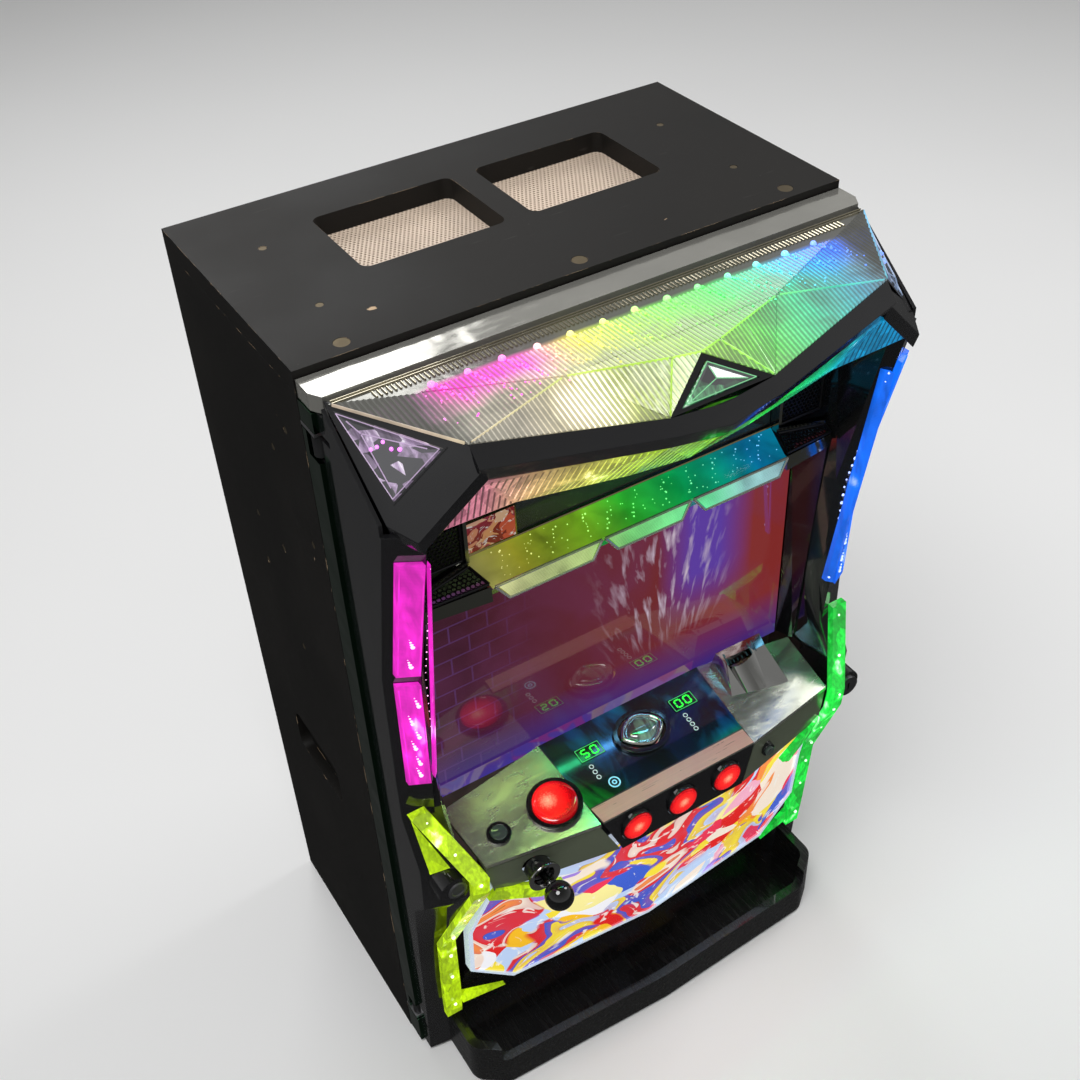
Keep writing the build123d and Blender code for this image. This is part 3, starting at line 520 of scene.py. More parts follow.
SOFFIT: Stops = (
    (0.03, (0.75, 0.16, 0.35)), (0.15, (0.80, 0.28, 0.36)), (0.22, (0.80, 0.50, 0.22)),
    (0.30, (0.65, 0.62, 0.10)),
    (0.42, LIME), (0.52, (0.2, 0.8, 0.03)), (0.62, GREEN), (0.74, TEAL), (0.82, CYAN),
    (0.95, (0.0, 0.35, 0.8)),
)
PILLAR: Stops = ((0.0, (0.90, 0.02, 0.62)), (0.49, (0.90, 0.02, 0.62)), (0.51, (0.0, 0.17, 0.95)),
                 (1.0, BLUE))
ARM: Stops = ((0.0, (0.50, 0.78, 0.0)), (0.49, (0.50, 0.78, 0.0)), (0.51, (0.01, 0.75, 0.05)), (1.0, GREEN))


@dataclass(frozen=True)
class LitLens(Finish):
    """Clear acrylic over coloured lamps: the colour changes from side to side."""

    name: str
    stops: Stops
    strength: float
    pattern: Pattern = Pattern.CLOUD
    pitch: float = 5.6
    white: float = 0.8

    def shape(self, graph: Graph, place: Any) -> Any:
        """The brightness pattern of the moulding.

        Args:
            graph: Where its nodes go.
            place: The point's place.

        Returns:
            A value of about 0.2 to 1.5.
        """
        if self.pattern is Pattern.RIBS:
            return rib_wave(graph, place, self.pitch)
        if self.pattern is Pattern.TUBE:
            streak = graph.noise(graph.stretch(place, (1, 1, 0.22)), 95, 3, 0.5)
            blob = graph.fade(graph.noise(graph.stretch(place, (1, 1, 0.4)), 42, 2), 0.58, 0.72, 0.0, 0.9)
            z = graph.axes(place)[2]
            fine = graph.fade(graph.calc("PINGPONG", z, 0.0008), 0.0, 0.0008, 0.86, 1.06)
            body = graph.calc("MULTIPLY", graph.fade(streak, 0.32, 0.68, 0.5, 1.05), fine)
            return graph.calc("ADD", body, blob)
        if self.pattern is Pattern.CUT_GLASS:
            facets = graph.cells(graph.stretch(place, (1, 1, 0.6), (0.3, 0.5, 0.7)), 85)
            tone = graph.axes(facets.outputs["Color"])[0]
            hatch = graph.noise(graph.stretch(place, (3, 3, 1), (0.0, 0.7, 0.0)), 120, 3)
            blob = graph.fade(graph.noise(place, 38, 2), 0.6, 0.7, 0.0, 0.9)
            body = graph.calc("MULTIPLY", graph.fade(tone, 0.1, 0.9, 0.42, 1.0),
                              graph.fade(hatch, 0.3, 0.7, 0.6, 1.2))
            return graph.calc("ADD", body, blob)
        return graph.fade(graph.noise(place, 28, 4, 0.8), 0.3, 0.7, 0.5, 1.1)

    def write(self, graph: Graph) -> None:
        """Lamp light through the moulding under a clear gloss.

        Args:
            graph: The graph to write into.
        """
        place = graph.place()
        x = graph.fade(graph.axes(place)[0], -HALF_WIDTH, HALF_WIDTH)
        tint = graph.ramp(x, self.stops)
        shape = self.shape(graph, place)
        power = graph.calc("MULTIPLY", shape, graph.fade(graph.noise(place, 22, 2), 0.32, 0.68, 0.75, 1.15))
        hot = graph.fade(power, 1.15, 1.9, 0.0, self.white)
        graph.surface({
            "Base Color": graph.mix(0.3, (0.03, 0.03, 0.03), tint),
            "Roughness": graph.fade(graph.noise(place, 90, 3), 0.3, 0.7, 0.05, 0.16),
            "Normal": graph.bump(shape, 0.0006, 0.35),
            "Emission Color": graph.mix(hot, tint, WHITE),
            "Emission Strength": graph.calc("MULTIPLY", power, self.strength),
        })


def rib_wave(graph: Graph, place: Any, pitch: float) -> Any:
    """Narrow bright crests with dark valleys, side by side across the machine.

    Args:
        graph: Where its nodes go.
        place: The point's place.
        pitch: From crest to crest, in millimetres.

    Returns:
        A value of about 0.06 to 1.3.
    """
    half = pitch * MM / 2
    wave = graph.calc("PINGPONG", graph.axes(place)[0], half)
    ripple = graph.fade(graph.noise(graph.stretch(place, (1, 12, 12)), 40, 3), 0.3, 0.7, 0.7, 1.2)
    return graph.calc("MULTIPLY", graph.fade(wave, 0.45 * half, 0.95 * half, 0.05, 1.35), ripple)


@dataclass(frozen=True)
class BrowLens(Finish):
    """The top lens: strongly coloured at its lamp row, paler in front, dull behind and at both ends."""

    name: str
    ribbed: bool = True
    pitch: float = 3.7
    strength: float = 1.35
    # Where the painted near-white highlight sits on the lens, in millimetres across and back.
    painted_highlight_spot: tuple[float, float] = (-84.0, -132.0)

    def write(self, graph: Graph) -> None:
        """Two colour rows blended by depth, a painted near-white highlight patch, and the ribs' crests.

        Args:
            graph: The graph to write into.
        """
        place = graph.place()
        x, y, _ = graph.axes(place)
        share = graph.fade(x, -HALF_WIDTH, HALF_WIDTH)
        row = at(0, LampRow.y, 0).y
        cloud = graph.noise(place, 26, 3, 0.5)
        depth = graph.calc("ADD", y, graph.fade(cloud, 0.3, 0.7, -0.008, 0.008))
        near = graph.fade(depth, row - 0.042, row - 0.014)
        tint = graph.mix(near, graph.ramp(share, LENS_FRONT), graph.ramp(share, RAINBOW))
        spot = graph.node("ShaderNodeCombineXYZ", {0: x, 1: y}).outputs[0]
        # Painted highlight: a near-white patch added to the colour and emission round one spot in front of
        # the lamp row.
        centre = at(*self.painted_highlight_spot, 0)
        away = graph.node("ShaderNodeVectorMath", {0: spot, 1: (centre.x, centre.y, 0)}, operation="DISTANCE")
        reach = graph.calc("ADD", away.outputs["Value"], graph.fade(cloud, 0.3, 0.7, -0.006, 0.006))
        hot = graph.fade(reach, 0.030, 0.012)
        behind = graph.fade(y, row + 0.003, row - 0.006, 0.10, 1.0)
        ends = graph.fade(graph.calc("ABSOLUTE", x), 0.160, 0.190, 1.0, 0.06)
        level = graph.calc("MULTIPLY", graph.calc("MULTIPLY", behind, ends),
                           graph.fade(cloud, 0.3, 0.7, 0.5, 1.1))
        level = graph.calc("MULTIPLY", level, graph.fade(near, 0.0, 1.0, 0.5, 1.05))
        # The painted highlight patch raises the emission here.
        level = graph.calc("ADD", level, graph.calc("MULTIPLY", hot, 1.6))
        wave = rib_wave(graph, place, self.pitch) if self.ribbed else graph.fade(cloud, 0.3, 0.7, 0.15, 0.4)
        graph.surface({
            "Base Color": graph.mix(graph.fade(level, 0.1, 0.5, 0.0, 0.5), (0.20, 0.20, 0.18), tint),
            "Metallic": graph.fade(level, 0.1, 0.4, 0.6, 0.0),
            "Roughness": graph.fade(graph.noise(place, 90, 3), 0.3, 0.7, 0.08, 0.2),
            "Normal": graph.bump(graph.noise(place, 120, 2), 0.0006, 0.3),
            "Emission Color": graph.mix(hot, tint, (1.0, 0.95, 0.8)),
            "Emission Strength": graph.calc("MULTIPLY", graph.calc("MULTIPLY", level, wave), self.strength),
        })


@dataclass(frozen=True)
class Lamp(Finish):
    """A lamp's hot point: nearly white, in its own place's colour."""

    name: str
    stops: Stops
    strength: float = 4.0
    white: float = 0.25

    def write(self, graph: Graph) -> None:
        """A small die pattern inside a glowing dome.

        Args:
            graph: The graph to write into.
        """
        place = graph.place()
        x = graph.fade(graph.axes(place)[0], -HALF_WIDTH, HALF_WIDTH)
        tint = graph.mix(self.white, graph.ramp(x, self.stops), WHITE)
        spark = graph.fade(graph.noise(place, 500, 2), 0.35, 0.65, 0.7, 1.2)
        graph.surface({
            "Base Color": tint,
            "Roughness": graph.fade(spark, 0.7, 1.2, 0.1, 0.3),
            "Emission Color": tint,
            "Emission Strength": graph.calc("MULTIPLY", spark, self.strength),
        })


@dataclass(frozen=True)
class Crystal(Finish):
    """Clear faceted acrylic over a dark pocket, tinted by one lamp; its glints and inner reflections are
    painted into the base colour and the emission.
    """

    name: str
    tint: Colour
    strength: float = 0.5

    def write(self, graph: Graph) -> None:
        """Painted glints and inner reflections in broad cells, in the base colour and the emission.

        Args:
            graph: The graph to write into.
        """
        place = graph.place()
        cells = graph.cells(graph.stretch(place, (1, 1, 2.2), (0.5, 0.2, 0.8)), 60)
        tone = graph.axes(cells.outputs["Color"])[1]
        streak = graph.noise(graph.stretch(place, (14, 3, 5), (0.3, 0.9, 0.4)), 12, 4, 1.5)
        # power: painted glints and reflections, which lighten the base colour and drive the emission.
        power = graph.calc("MULTIPLY", graph.fade(tone, 0.45, 0.95), graph.fade(streak, 0.35, 0.65, 0.2, 1.4))
        graph.surface({
            "Base Color": graph.mix(power, (0.16, 0.16, 0.17), graph.mix(0.5, self.tint, (0.6, 0.6, 0.62))),
            "Metallic": 0.6,
            "Roughness": graph.fade(streak, 0.3, 0.7, 0.05, 0.18),
            "Coat Weight": 1.0,
            "Coat Roughness": 0.02,
            "Emission Color": graph.mix(graph.fade(power, 0.7, 1.3), self.tint, WHITE),
            "Emission Strength": graph.calc("MULTIPLY", power, self.strength),
        })


@dataclass(frozen=True)
class ScreenPicture(Finish):
    """A lit display with an abstract picture: dark red, violet foot, pale streaks."""

    name: str = "screen_picture"
    strength: float = 1.0

    def write(self, graph: Graph) -> None:
        """Layers of colour by place, streaks that fan out and faint brick lines.

        Args:
            graph: The graph to write into.
        """
        low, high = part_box("screen")
        place = graph.place()
        x, _, z = graph.axes(place)
        across = graph.fade(x, low.x, high.x)
        rise = graph.fade(z, low.z, high.z)
        cloud = graph.noise(place, 9, 5, 0.8)
        base = graph.mix(graph.fade(across, 0.1, 0.9), (0.035, 0.004, 0.012), (0.22, 0.022, 0.02))
        base = graph.mix(graph.fade(cloud, 0.4, 0.75, 0, 0.5), base, (0.14, 0.03, 0.10))
        foot = graph.fade(graph.calc("ADD", rise, graph.calc("MULTIPLY", cloud, 0.12)), 0.34, 0.06)
        base = graph.mix(foot, base, (0.035, 0.02, 0.20))
        violet = graph.calc("MULTIPLY", graph.fade(across, 0.62, 0.72), graph.fade(across, 0.9, 0.8))
        violet = graph.calc("MULTIPLY", violet, graph.fade(rise, 0.35, 0.6))
        base = graph.mix(violet, base, (0.10, 0.04, 0.34))
        fan_x = graph.calc("SUBTRACT", x, 0.058)
        fan_z = graph.calc("SUBTRACT", z, low.z - 0.05)
        angle = graph.calc("ARCTAN2", fan_x, fan_z)
        streak_place = graph.node("ShaderNodeCombineXYZ",
                                  {0: angle, 1: graph.calc("MULTIPLY", z, 1.2)}).outputs[0]
        streak = graph.fade(graph.noise(streak_place, 24, 6, 0.3), 0.52, 0.72)
        zone = graph.calc("MULTIPLY", graph.fade(across, 0.42, 0.6), graph.fade(across, 0.86, 0.72))
        streak = graph.calc("MULTIPLY", streak, graph.calc("MULTIPLY", zone, graph.fade(rise, 0.25, 0.5)))
        base = graph.mix(streak, base, (0.55, 0.45, 0.55))
        tile = graph.node("ShaderNodeCombineXYZ", {0: x, 1: z}).outputs[0]
        bricks = {"Vector": tile, "Scale": 14.0, "Mortar Size": 0.012, "Color1": (0, 0, 0),
                  "Color2": (0, 0, 0),
                  "Mortar": (1, 1, 1)}
        lines = graph.node("ShaderNodeTexBrick", bricks).outputs["Fac"]
        lines = graph.calc("MULTIPLY", lines, graph.fade(across, 0.3, 0.05, 0.0, 0.35))
        base = graph.mix(lines, base, (0.12, 0.05, 0.22))
        graph.surface({
            "Base Color": (0.004, 0.003, 0.004),
            "Roughness": graph.fade(graph.noise(place, 30, 4), 0.3, 0.7, 0.04, 0.10),
            "Specular IOR Level": 0.5,
            "Coat Weight": 1.0,
            "Coat Roughness": 0.02,
            "Emission Color": base,
            "Emission Strength": self.strength,
        })


@dataclass(frozen=True)
class BackLitPrint(Finish):
    """A bright abstract print of curls and patches, lit from behind."""

    name: str
    stops: Stops
    scale: float
    strength: float

    def write(self, graph: Graph) -> None:
        """Curled ribbons of colour over warped patches, with thin outlines and shines.

        Args:
            graph: The graph to write into.
        """
        place = graph.place()
        warp = graph.node("ShaderNodeTexNoise", {"Vector": place, "Scale": self.scale * 0.45, "Detail": 1.5})
        pull = graph.node("ShaderNodeVectorMath", {0: warp.outputs["Color"], "Scale": 3.2 / self.scale},
                          operation="SCALE")
        bent = graph.node("ShaderNodeVectorMath", {0: place, 1: pull.outputs[0]}, operation="ADD").outputs[0]
        tone = graph.axes(graph.cells(bent, self.scale).outputs["Color"])[0]
        colour = graph.ramp(tone, self.stops, step=True)
        flow = graph.calc("MULTIPLY", graph.noise(bent, self.scale * 0.5, 1.0, 0.6), 15.0)
        strand = graph.calc("FRACT", flow)
        ribbon_tone = graph.calc("FRACT", graph.calc("MULTIPLY", graph.calc("FLOOR", flow), 0.377))
        ribbon = graph.ramp(ribbon_tone, self.stops, step=True)
        on_ribbon = graph.fade(graph.noise(bent, self.scale * 0.4, 2), 0.49, 0.51)
        colour = graph.mix(on_ribbon, colour, ribbon)
        shading = graph.fade(strand, 0.0, 1.0, 0.62, 1.0)
        dusk = graph.calc("MULTIPLY", on_ribbon, graph.calc("SUBTRACT", 1.0, shading))
        colour = graph.mix(dusk, colour, (0.55, 0.10, 0.20))
        rim = graph.fade(graph.calc("PINGPONG", strand, 0.5), 0.0, 0.035, 0.7, 0.0)
        colour = graph.mix(graph.calc("MULTIPLY", rim, on_ribbon), colour, (0.30, 0.05, 0.04))
        shine = graph.fade(graph.noise(bent, self.scale * 2.6, 3, 1.0), 0.60, 0.66, 0.0, 0.8)
        colour = graph.mix(shine, colour, (1.0, 0.96, 0.9))
        graph.surface({
            "Base Color": graph.mix(0.85, colour, (0.0, 0.0, 0.0)),
            "Roughness": graph.fade(graph.noise(place, 60, 3), 0.3, 0.7, 0.08, 0.2),
            "Normal": graph.bump(graph.noise(place, 160, 3), 0.0002, 0.2),
            "Emission Color": colour,
            "Emission Strength": graph.fade(graph.noise(place, 8, 2), 0.3, 0.7, self.strength * 0.85,
                                            self.strength),
        })


@dataclass(frozen=True)
class GlowButton(Finish):
    """A lit plastic lens, hottest a little off its centre."""

    name: str
    centre: tuple[float, float, float]
    radius: float
    rim: Colour = (0.40, 0.0, 0.004)
    core: Colour = (1.0, 0.30, 0.18)
    strength: float = 1.35

    def write(self, graph: Graph) -> None:
        """Lamp light that falls off from the middle, through a pebbled underside.

        Args:
            graph: The graph to write into.
        """
        place = graph.place()
        away = graph.node("ShaderNodeVectorMath", {0: place, 1: self.centre},
                          operation="DISTANCE").outputs["Value"]
        pebble = graph.cells(place, 700).outputs["Distance"]
        share = graph.fade(away, 0.0, self.radius)
        share = graph.calc("ADD", share, graph.fade(pebble, 0.2, 0.7, -0.05, 0.08))
        tint = graph.ramp(share, ((0.05, self.core), (0.42, (0.95, 0.02, 0.015)),
                                  (0.8, (0.8, 0.004, 0.008)), (1.0, self.rim)))
        graph.surface({
            "Base Color": graph.mix(0.5, tint, (0.05, 0.0, 0.0)),
            "Roughness": graph.fade(pebble, 0.2, 0.8, 0.08, 0.16),
            "Coat Weight": 1.0,
            "Coat Roughness": 0.03,
            "Normal": graph.bump(pebble, 0.0001, 0.3),
            "Emission Color": tint,
            "Emission Strength": graph.fade(share, 0.0, 1.0, self.strength, self.strength * 0.55),
        })


@dataclass(frozen=True)
class DarkMirror(Finish):
    """Smoked mirror plate with painted blue and green reflections of the lamps."""

    name: str = "dark_mirror_painted_reflections"

    def write(self, graph: Graph) -> None:
        """Painted reflections: soft gleams of lamp colour in the base colour and emission of a near black
        mirror.

        Args:
            graph: The graph to write into.
        """
        place = graph.place()
        # Painted reflections of the green and blue lamps, put into the colour and emission; the plate itself
        # gives no light.
        painted_gleam = graph.noise(graph.stretch(place, (1, 0.45, 1), (0, 0, 0.5)), 17, 4, 0.7)
        hue = graph.ramp(graph.noise(place, 10, 2), ((0.35, GREEN), (0.5, CYAN), (0.62, BLUE), (0.7, TEAL)))
        rough = graph.fade(graph.noise(place, 40, 5), 0.3, 0.7, 0.04, 0.13)
        power = graph.fade(painted_gleam, 0.52, 0.76, 0.0, 0.36)
        graph.surface({
            "Base Color": graph.mix(graph.fade(painted_gleam, 0.4, 0.8, 0, 0.35), (0.035, 0.045, 0.05), hue),
            "Metallic": 0.75,
            "Roughness": rough,
            "Coat Weight": 1.0,
            "Coat Roughness": 0.03,
            "Emission Color": hue,
            "Emission Strength": power,
        })


@dataclass(frozen=True)
class Signal(Finish):
    """Small lit marks such as segments and indicator rings."""

    name: str
    tint: Colour
    strength: float

    def write(self, graph: Graph) -> None:
        """An even glow with a slight grain.

        Args:
            graph: The graph to write into.
        """
        place = graph.place()
        grain = graph.noise(place, 900, 2)
        graph.surface({
            "Base Color": graph.mix(grain, self.tint, tuple(0.6 * c for c in self.tint)),
            "Roughness": graph.fade(grain, 0.3, 0.7, 0.2, 0.35),
            "Emission Color": self.tint,
            "Emission Strength": graph.fade(grain, 0.3, 0.7, self.strength * 0.85, self.strength * 1.1),
        })


@dataclass(frozen=True)
class ClearSmoke(Finish):
    """Smoked or clear acrylic that lets some of what is behind it through."""

    name: str
    tint: Colour
    clear: float = 0.75

    def write(self, graph: Graph) -> None:
        """Tinted glass with smears.

        Args:
            graph: The graph to write into.
        """
        place = graph.place()
        smear = graph.noise(graph.stretch(place, (5, 5, 22)), 8, 5)
        graph.surface({
            "Base Color": graph.mix(smear, self.tint, tuple(0.8 * c for c in self.tint)),
            "Roughness": graph.fade(smear, 0.35, 0.75, 0.02, 0.12),
            "Transmission Weight": self.clear,
            "IOR": 1.49,
        })


@dataclass(frozen=True)
class ReelStrip(Finish):
    """White reel film with 21 rows of plain coloured shapes."""

    name: str
    middle: float

    def write(self, graph: Graph) -> None:
        """Diamonds, discs and bars chosen row by row round the drum.

        Args:
            graph: The graph to write into.
        """
        low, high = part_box("reel_centre")
        centre_y, centre_z = (low.y + high.y) / 2, (low.z + high.z) / 2
        half = (high.x - low.x) / 2
        x, y, z = graph.axes(graph.place())
        angle = graph.calc("ARCTAN2", graph.calc("SUBTRACT", y, centre_y),
                           graph.calc("SUBTRACT", z, centre_z))
        turn = graph.calc("MULTIPLY", graph.fade(angle, -math.pi, math.pi), 21.0)
        row = graph.calc("FLOOR", turn)
        v = graph.calc("SUBTRACT", graph.calc("FRACT", turn), 0.5)
        u = graph.calc("DIVIDE", graph.calc("SUBTRACT", x, self.middle), 2 * half)
        across, along = graph.calc("ABSOLUTE", u), graph.calc("ABSOLUTE", v)
        diamond = graph.fade(graph.calc("ADD", across, along), 0.34, 0.32)
        round_dot = graph.calc("ADD", graph.calc("MULTIPLY", u, u), graph.calc("MULTIPLY", v, v))
        disc = graph.fade(round_dot, 0.085, 0.08)
        strip = graph.calc("MULTIPLY", graph.fade(across, 0.36, 0.35), graph.fade(along, 0.16, 0.15))
        kind = graph.calc("MODULO", row, 3.0)
        mask = graph.calc("MULTIPLY", diamond, graph.calc("COMPARE", kind, 0.0))
        mask = graph.calc("ADD", mask, graph.calc("MULTIPLY", disc, graph.calc("COMPARE", kind, 1.0)))
        mask = graph.calc("ADD", mask, graph.calc("MULTIPLY", strip, graph.calc("COMPARE", kind, 2.0)), True)
        hue = graph.calc("FRACT", graph.calc("MULTIPLY", row, 0.37))
        shade = graph.ramp(hue, ((0.0, (0.6, 0.02, 0.02)), (0.3, (0.02, 0.1, 0.5)), (0.6, (0.7, 0.4, 0.02)),
                                 (0.85, (0.02, 0.3, 0.08))), step=True)
        graph.surface({
            "Base Color": graph.mix(mask, (0.82, 0.82, 0.78), shade),
            "Roughness": graph.fade(graph.noise(graph.place(), 90, 3), 0.3, 0.7, 0.3, 0.5),
        })


PIANO = Gloss("piano_black", (0.008, 0.008, 0.009))
TRAY_BLACK = Gloss("tray_black", (0.007, 0.007, 0.007), 0.2, 0.1)
CHROME = Plated("bright_plate", (0.62, 0.62, 0.60), 0.05, 0.3)
GREEN_CHROME = Plated("green_plate", (0.05, 0.13, 0.07), 0.12, 0.5)
CONSOLE_CHROME = Plated("console_plate", (0.62, 0.64, 0.54), 0.12, 0.08, 0.5, 0.85)
FRONT_CHROME = Plated("front_plate", (0.20, 0.23, 0.16), 0.10, 0.3, 0.2, 0.45)
LIP_CHROME = Plated("lip_plate", (0.85, 0.50, 0.40), 0.22, 0.1, 0.6, 0.3)
HEADER_CHROME = Plated("header_plate", (0.60, 0.59, 0.54), 0.10, 0.5, 0.0, 0.72)
TRIM_CHROME = Plated("trim_plate", (0.42, 0.43, 0.36), 0.08, 0.3)
MATT_BLACK = Satin("matt_black", (0.012, 0.012, 0.013), 0.5)
STEEL = Satin("zinc_steel", (0.5, 0.5, 0.52), 0.32, 1.0)
BRASS = Satin("dull_brass", (0.15, 0.12, 0.075), 0.5, 0.9)
CREAM = Satin("cream_paint", (0.66, 0.53, 0.42), 0.55)
BOARD = Board()


# ------------------------------------------------------------------ mesh tools


def basis(axis: Vector) -> tuple[Vector, Vector, Vector]:
    """Three unit vectors, the last along an axis.

    Args:
        axis: The direction of the last vector.

    Returns:
        Two vectors square to the axis, and the axis.
    """
    up = axis.normalized()
    side = (UP if abs(up.z) < 0.9 else Vector((1, 0, 0))).cross(up).normalized()
    return side, up.cross(side), up


def add_loft(bm: bmesh.types.BMesh, rings: Sequence[Sequence[Vector]], capped: bool = True) -> None:
    """Skin a row of like rings.

    Args:
        bm: The mesh.
        rings: Rings of points, all of one count.
        capped: Close both ends with a face.
    """
    made = [[bm.verts.new(p) for p in ring] for ring in rings]
    count = len(made[0])
    for one, two in zip(made, made[1:]):
        for i in range(count):
            j = (i + 1) % count
            bm.faces.new((one[i], one[j], two[j], two[i]))
    if capped:
        bm.faces.new(list(reversed(made[0])))
        bm.faces.new(made[-1])


def add_lathe(bm: bmesh.types.BMesh, centre: Vector, axis: Vector, profile: Sequence[tuple[float, float]],
              count: int = 40) -> None:
    """A turned solid.

    Args:
        bm: The mesh.
        centre: The origin of the profile.
        axis: The turning axis.
        profile: Radius and height of each ring, in millimetres, from the base up.
        count: Facets round.
    """
    side, other, up = basis(axis)
    turns = [2 * math.pi * i / count for i in range(count)]
    rings = []
    for radius, height in profile:
        r = max(radius, 0.02) * MM
        middle = centre + up * height * MM
        rings.append([middle + side * r * math.cos(t) + other * r * math.sin(t) for t in turns])
    add_loft(bm, rings)


def add_bar(bm: bmesh.types.BMesh, start: Vector, end: Vector, width: float, height: float,
            up: Vector) -> None:
    """A straight bar with a low ridge on top.

    Args:
        bm: The mesh.
        start: One end.
        end: The other end.
        width: Its width in millimetres.
        height: How far it stands up in millimetres.
        up: The way it stands up.
    """
    along = (end - start).normalized()
    lift = (up - along * up.dot(along)).normalized()
    side = along.cross(lift) * width * MM / 2
    lift = lift * height * MM
    section = (-side - lift * 0.4, side - lift * 0.4, side * 0.9 + lift * 0.6, side * 0.25 + lift,
               -side * 0.25 + lift, -side * 0.9 + lift * 0.6)
    add_loft(bm, [[p + s for s in section] for p in (start, end)])


def add_bead(bm: bmesh.types.BMesh, centre: Vector, radius: float, up: Vector, count: int = 10) -> None:
    """A small domed bead; radius is in millimetres.

    Args:
        bm: The mesh.
        centre: Middle of its foot, in metres.
        radius: Its radius.
        up: Its axis.
        count: Steps round.
    """
    profile = [(radius * out, radius * rise) for out, rise in BEAD_SECTION]
    add_lathe(bm, centre, up, profile, count)


def normal_of(corners: Sequence[Vector]) -> Vector:
    """The unit normal of a flat polygon.

    Args:
        corners: The polygon, in order.

    Returns:
        The normal.
    """
    total = Vector()
    for a, b in around(corners):
        total += a.cross(b)
    return total.normalized()


def add_ribs(bm: bmesh.types.BMesh, corners: Sequence[Vector], along: Vector, pitch: float, rise: float,
             lift: float = 0.25) -> None:
    """A ribbed skin over a flat polygon, closed to a thin solid.

    Args:
        bm: The mesh.
        corners: The polygon, in order.
        along: The ribs' direction.
        pitch: From rib to rib, in millimetres.
        rise: Height of the ribs, in millimetres.
        lift: Height of the valleys over the polygon, in millimetres.
    """
    normal = normal_of(corners)
    if normal.z < 0 and abs(normal.z) > 0.2 or abs(normal.z) <= 0.2 and normal.y > 0:
        normal, corners = -normal, list(reversed(corners))
    run = (along - normal * along.dot(normal)).normalized()
    across = normal.cross(run)
    step = pitch * MM / 2
    spots = [p.dot(across) for p in corners]
    low = min(spots)
    part = bmesh.new()
    part.faces.new([part.verts.new(p + normal * lift * MM) for p in corners])
    first = math.ceil(low / step + 0.02)
    last = math.floor(max(spots) / step - 0.02)
    for k in range(first, last + 1):
        geometry = [*part.verts, *part.edges, *part.faces]
        bmesh.ops.bisect_plane(part, geom=geometry, plane_co=across * k * step, plane_no=across, dist=1e-7)
    for vert in part.verts:
        place = vert.co.dot(across) / step
        if abs(place - round(place)) < 0.01 and round(place) % 2:
            vert.co += normal * rise * MM
    close_skin(part, normal * -(lift + 0.3) * MM)
    pour(part, bm)


def close_skin(part: bmesh.types.BMesh, drop: Vector) -> None:
    """Make a skin solid by dropping a copy of it and walling its rim.

    Args:
        part: The skin, changed in place.
        drop: From the skin to its copy, in metres.
    """
    rim = [edge for edge in part.edges if edge.is_boundary]
    loops = {edge: edge.link_loops[0] for edge in rim}
    pairs = [(loop.vert, loop.link_loop_next.vert) for loop in loops.values()]
    under = {vert: part.verts.new(vert.co + drop) for vert in list(part.verts)}
    for face in list(part.faces):
        part.faces.new([under[v] for v in reversed(face.verts)])
    for a, b in pairs:
        part.faces.new((b, a, under[a], under[b]))


def pour(source: bmesh.types.BMesh, target: bmesh.types.BMesh) -> None:
    """Move one mesh's faces into another, and free the first.

    Args:
        source: The mesh to empty.
        target: The mesh to fill.
    """
    copies = {vert: target.verts.new(vert.co) for vert in source.verts}
    for face in source.faces:
        target.faces.new([copies[v] for v in face.verts])
    source.free()


def inside(point: Vector, corners: Sequence[Vector], margin: float) -> bool:
    """Whether a point lies in a convex polygon, at least a margin from its edges.

    Args:
        point: A point in the polygon's plane.
        corners: The polygon, in order.
        margin: The least distance from its edges.

    Returns:
        True if it does.
    """
    normal = normal_of(corners)
    for a, b in around(corners):
        inward = normal.cross((b - a).normalized())
        if (point - a).dot(inward) < margin:
            return False
    return True


def add_holes(bm: bmesh.types.BMesh, corners: Sequence[Vector], pitch: float, hole: float,
              thick: float) -> None:
    """A perforated sheet: six-sided cells, each with a hole, over a convex polygon.

    Args:
        bm: The mesh.
        corners: The polygon, in order.
        pitch: From hole to hole, in millimetres.
        hole: Radius of a hole, in millimetres.
        thick: Thickness, in millimetres.
    """
    side, normal = (corners[1] - corners[0]).normalized(), normal_of(corners)
    other = normal.cross(side)
    origin = corners[0]
    reach = max((p - origin).length for p in corners)
    rows = int(reach / (pitch * MM * 0.866)) + 1
    part = bmesh.new()
    turns = [math.radians(30 + 60 * k) for k in range(6)]
    for row in range(-rows, rows):
        for column in range(-rows, rows):
            x = (column + 0.5 * (row % 2)) * pitch * MM
            centre = origin + side * x + other * row * pitch * MM * 0.866
            if not inside(centre, corners, pitch * MM * 0.45):
                continue
            spokes = [side * math.cos(t) + other * math.sin(t) for t in turns]
            outer = [part.verts.new(centre + s * pitch * MM * 0.57735) for s in spokes]
            inner = [part.verts.new(centre + s * hole * MM) for s in spokes]
            for k in range(6):
                j = (k + 1) % 6
                part.faces.new((outer[k], outer[j], inner[j], inner[k]))
    bmesh.ops.remove_doubles(part, verts=part.verts, dist=pitch * MM * 0.02)
    close_skin(part, normal * -thick * MM)
    pour(part, bm)


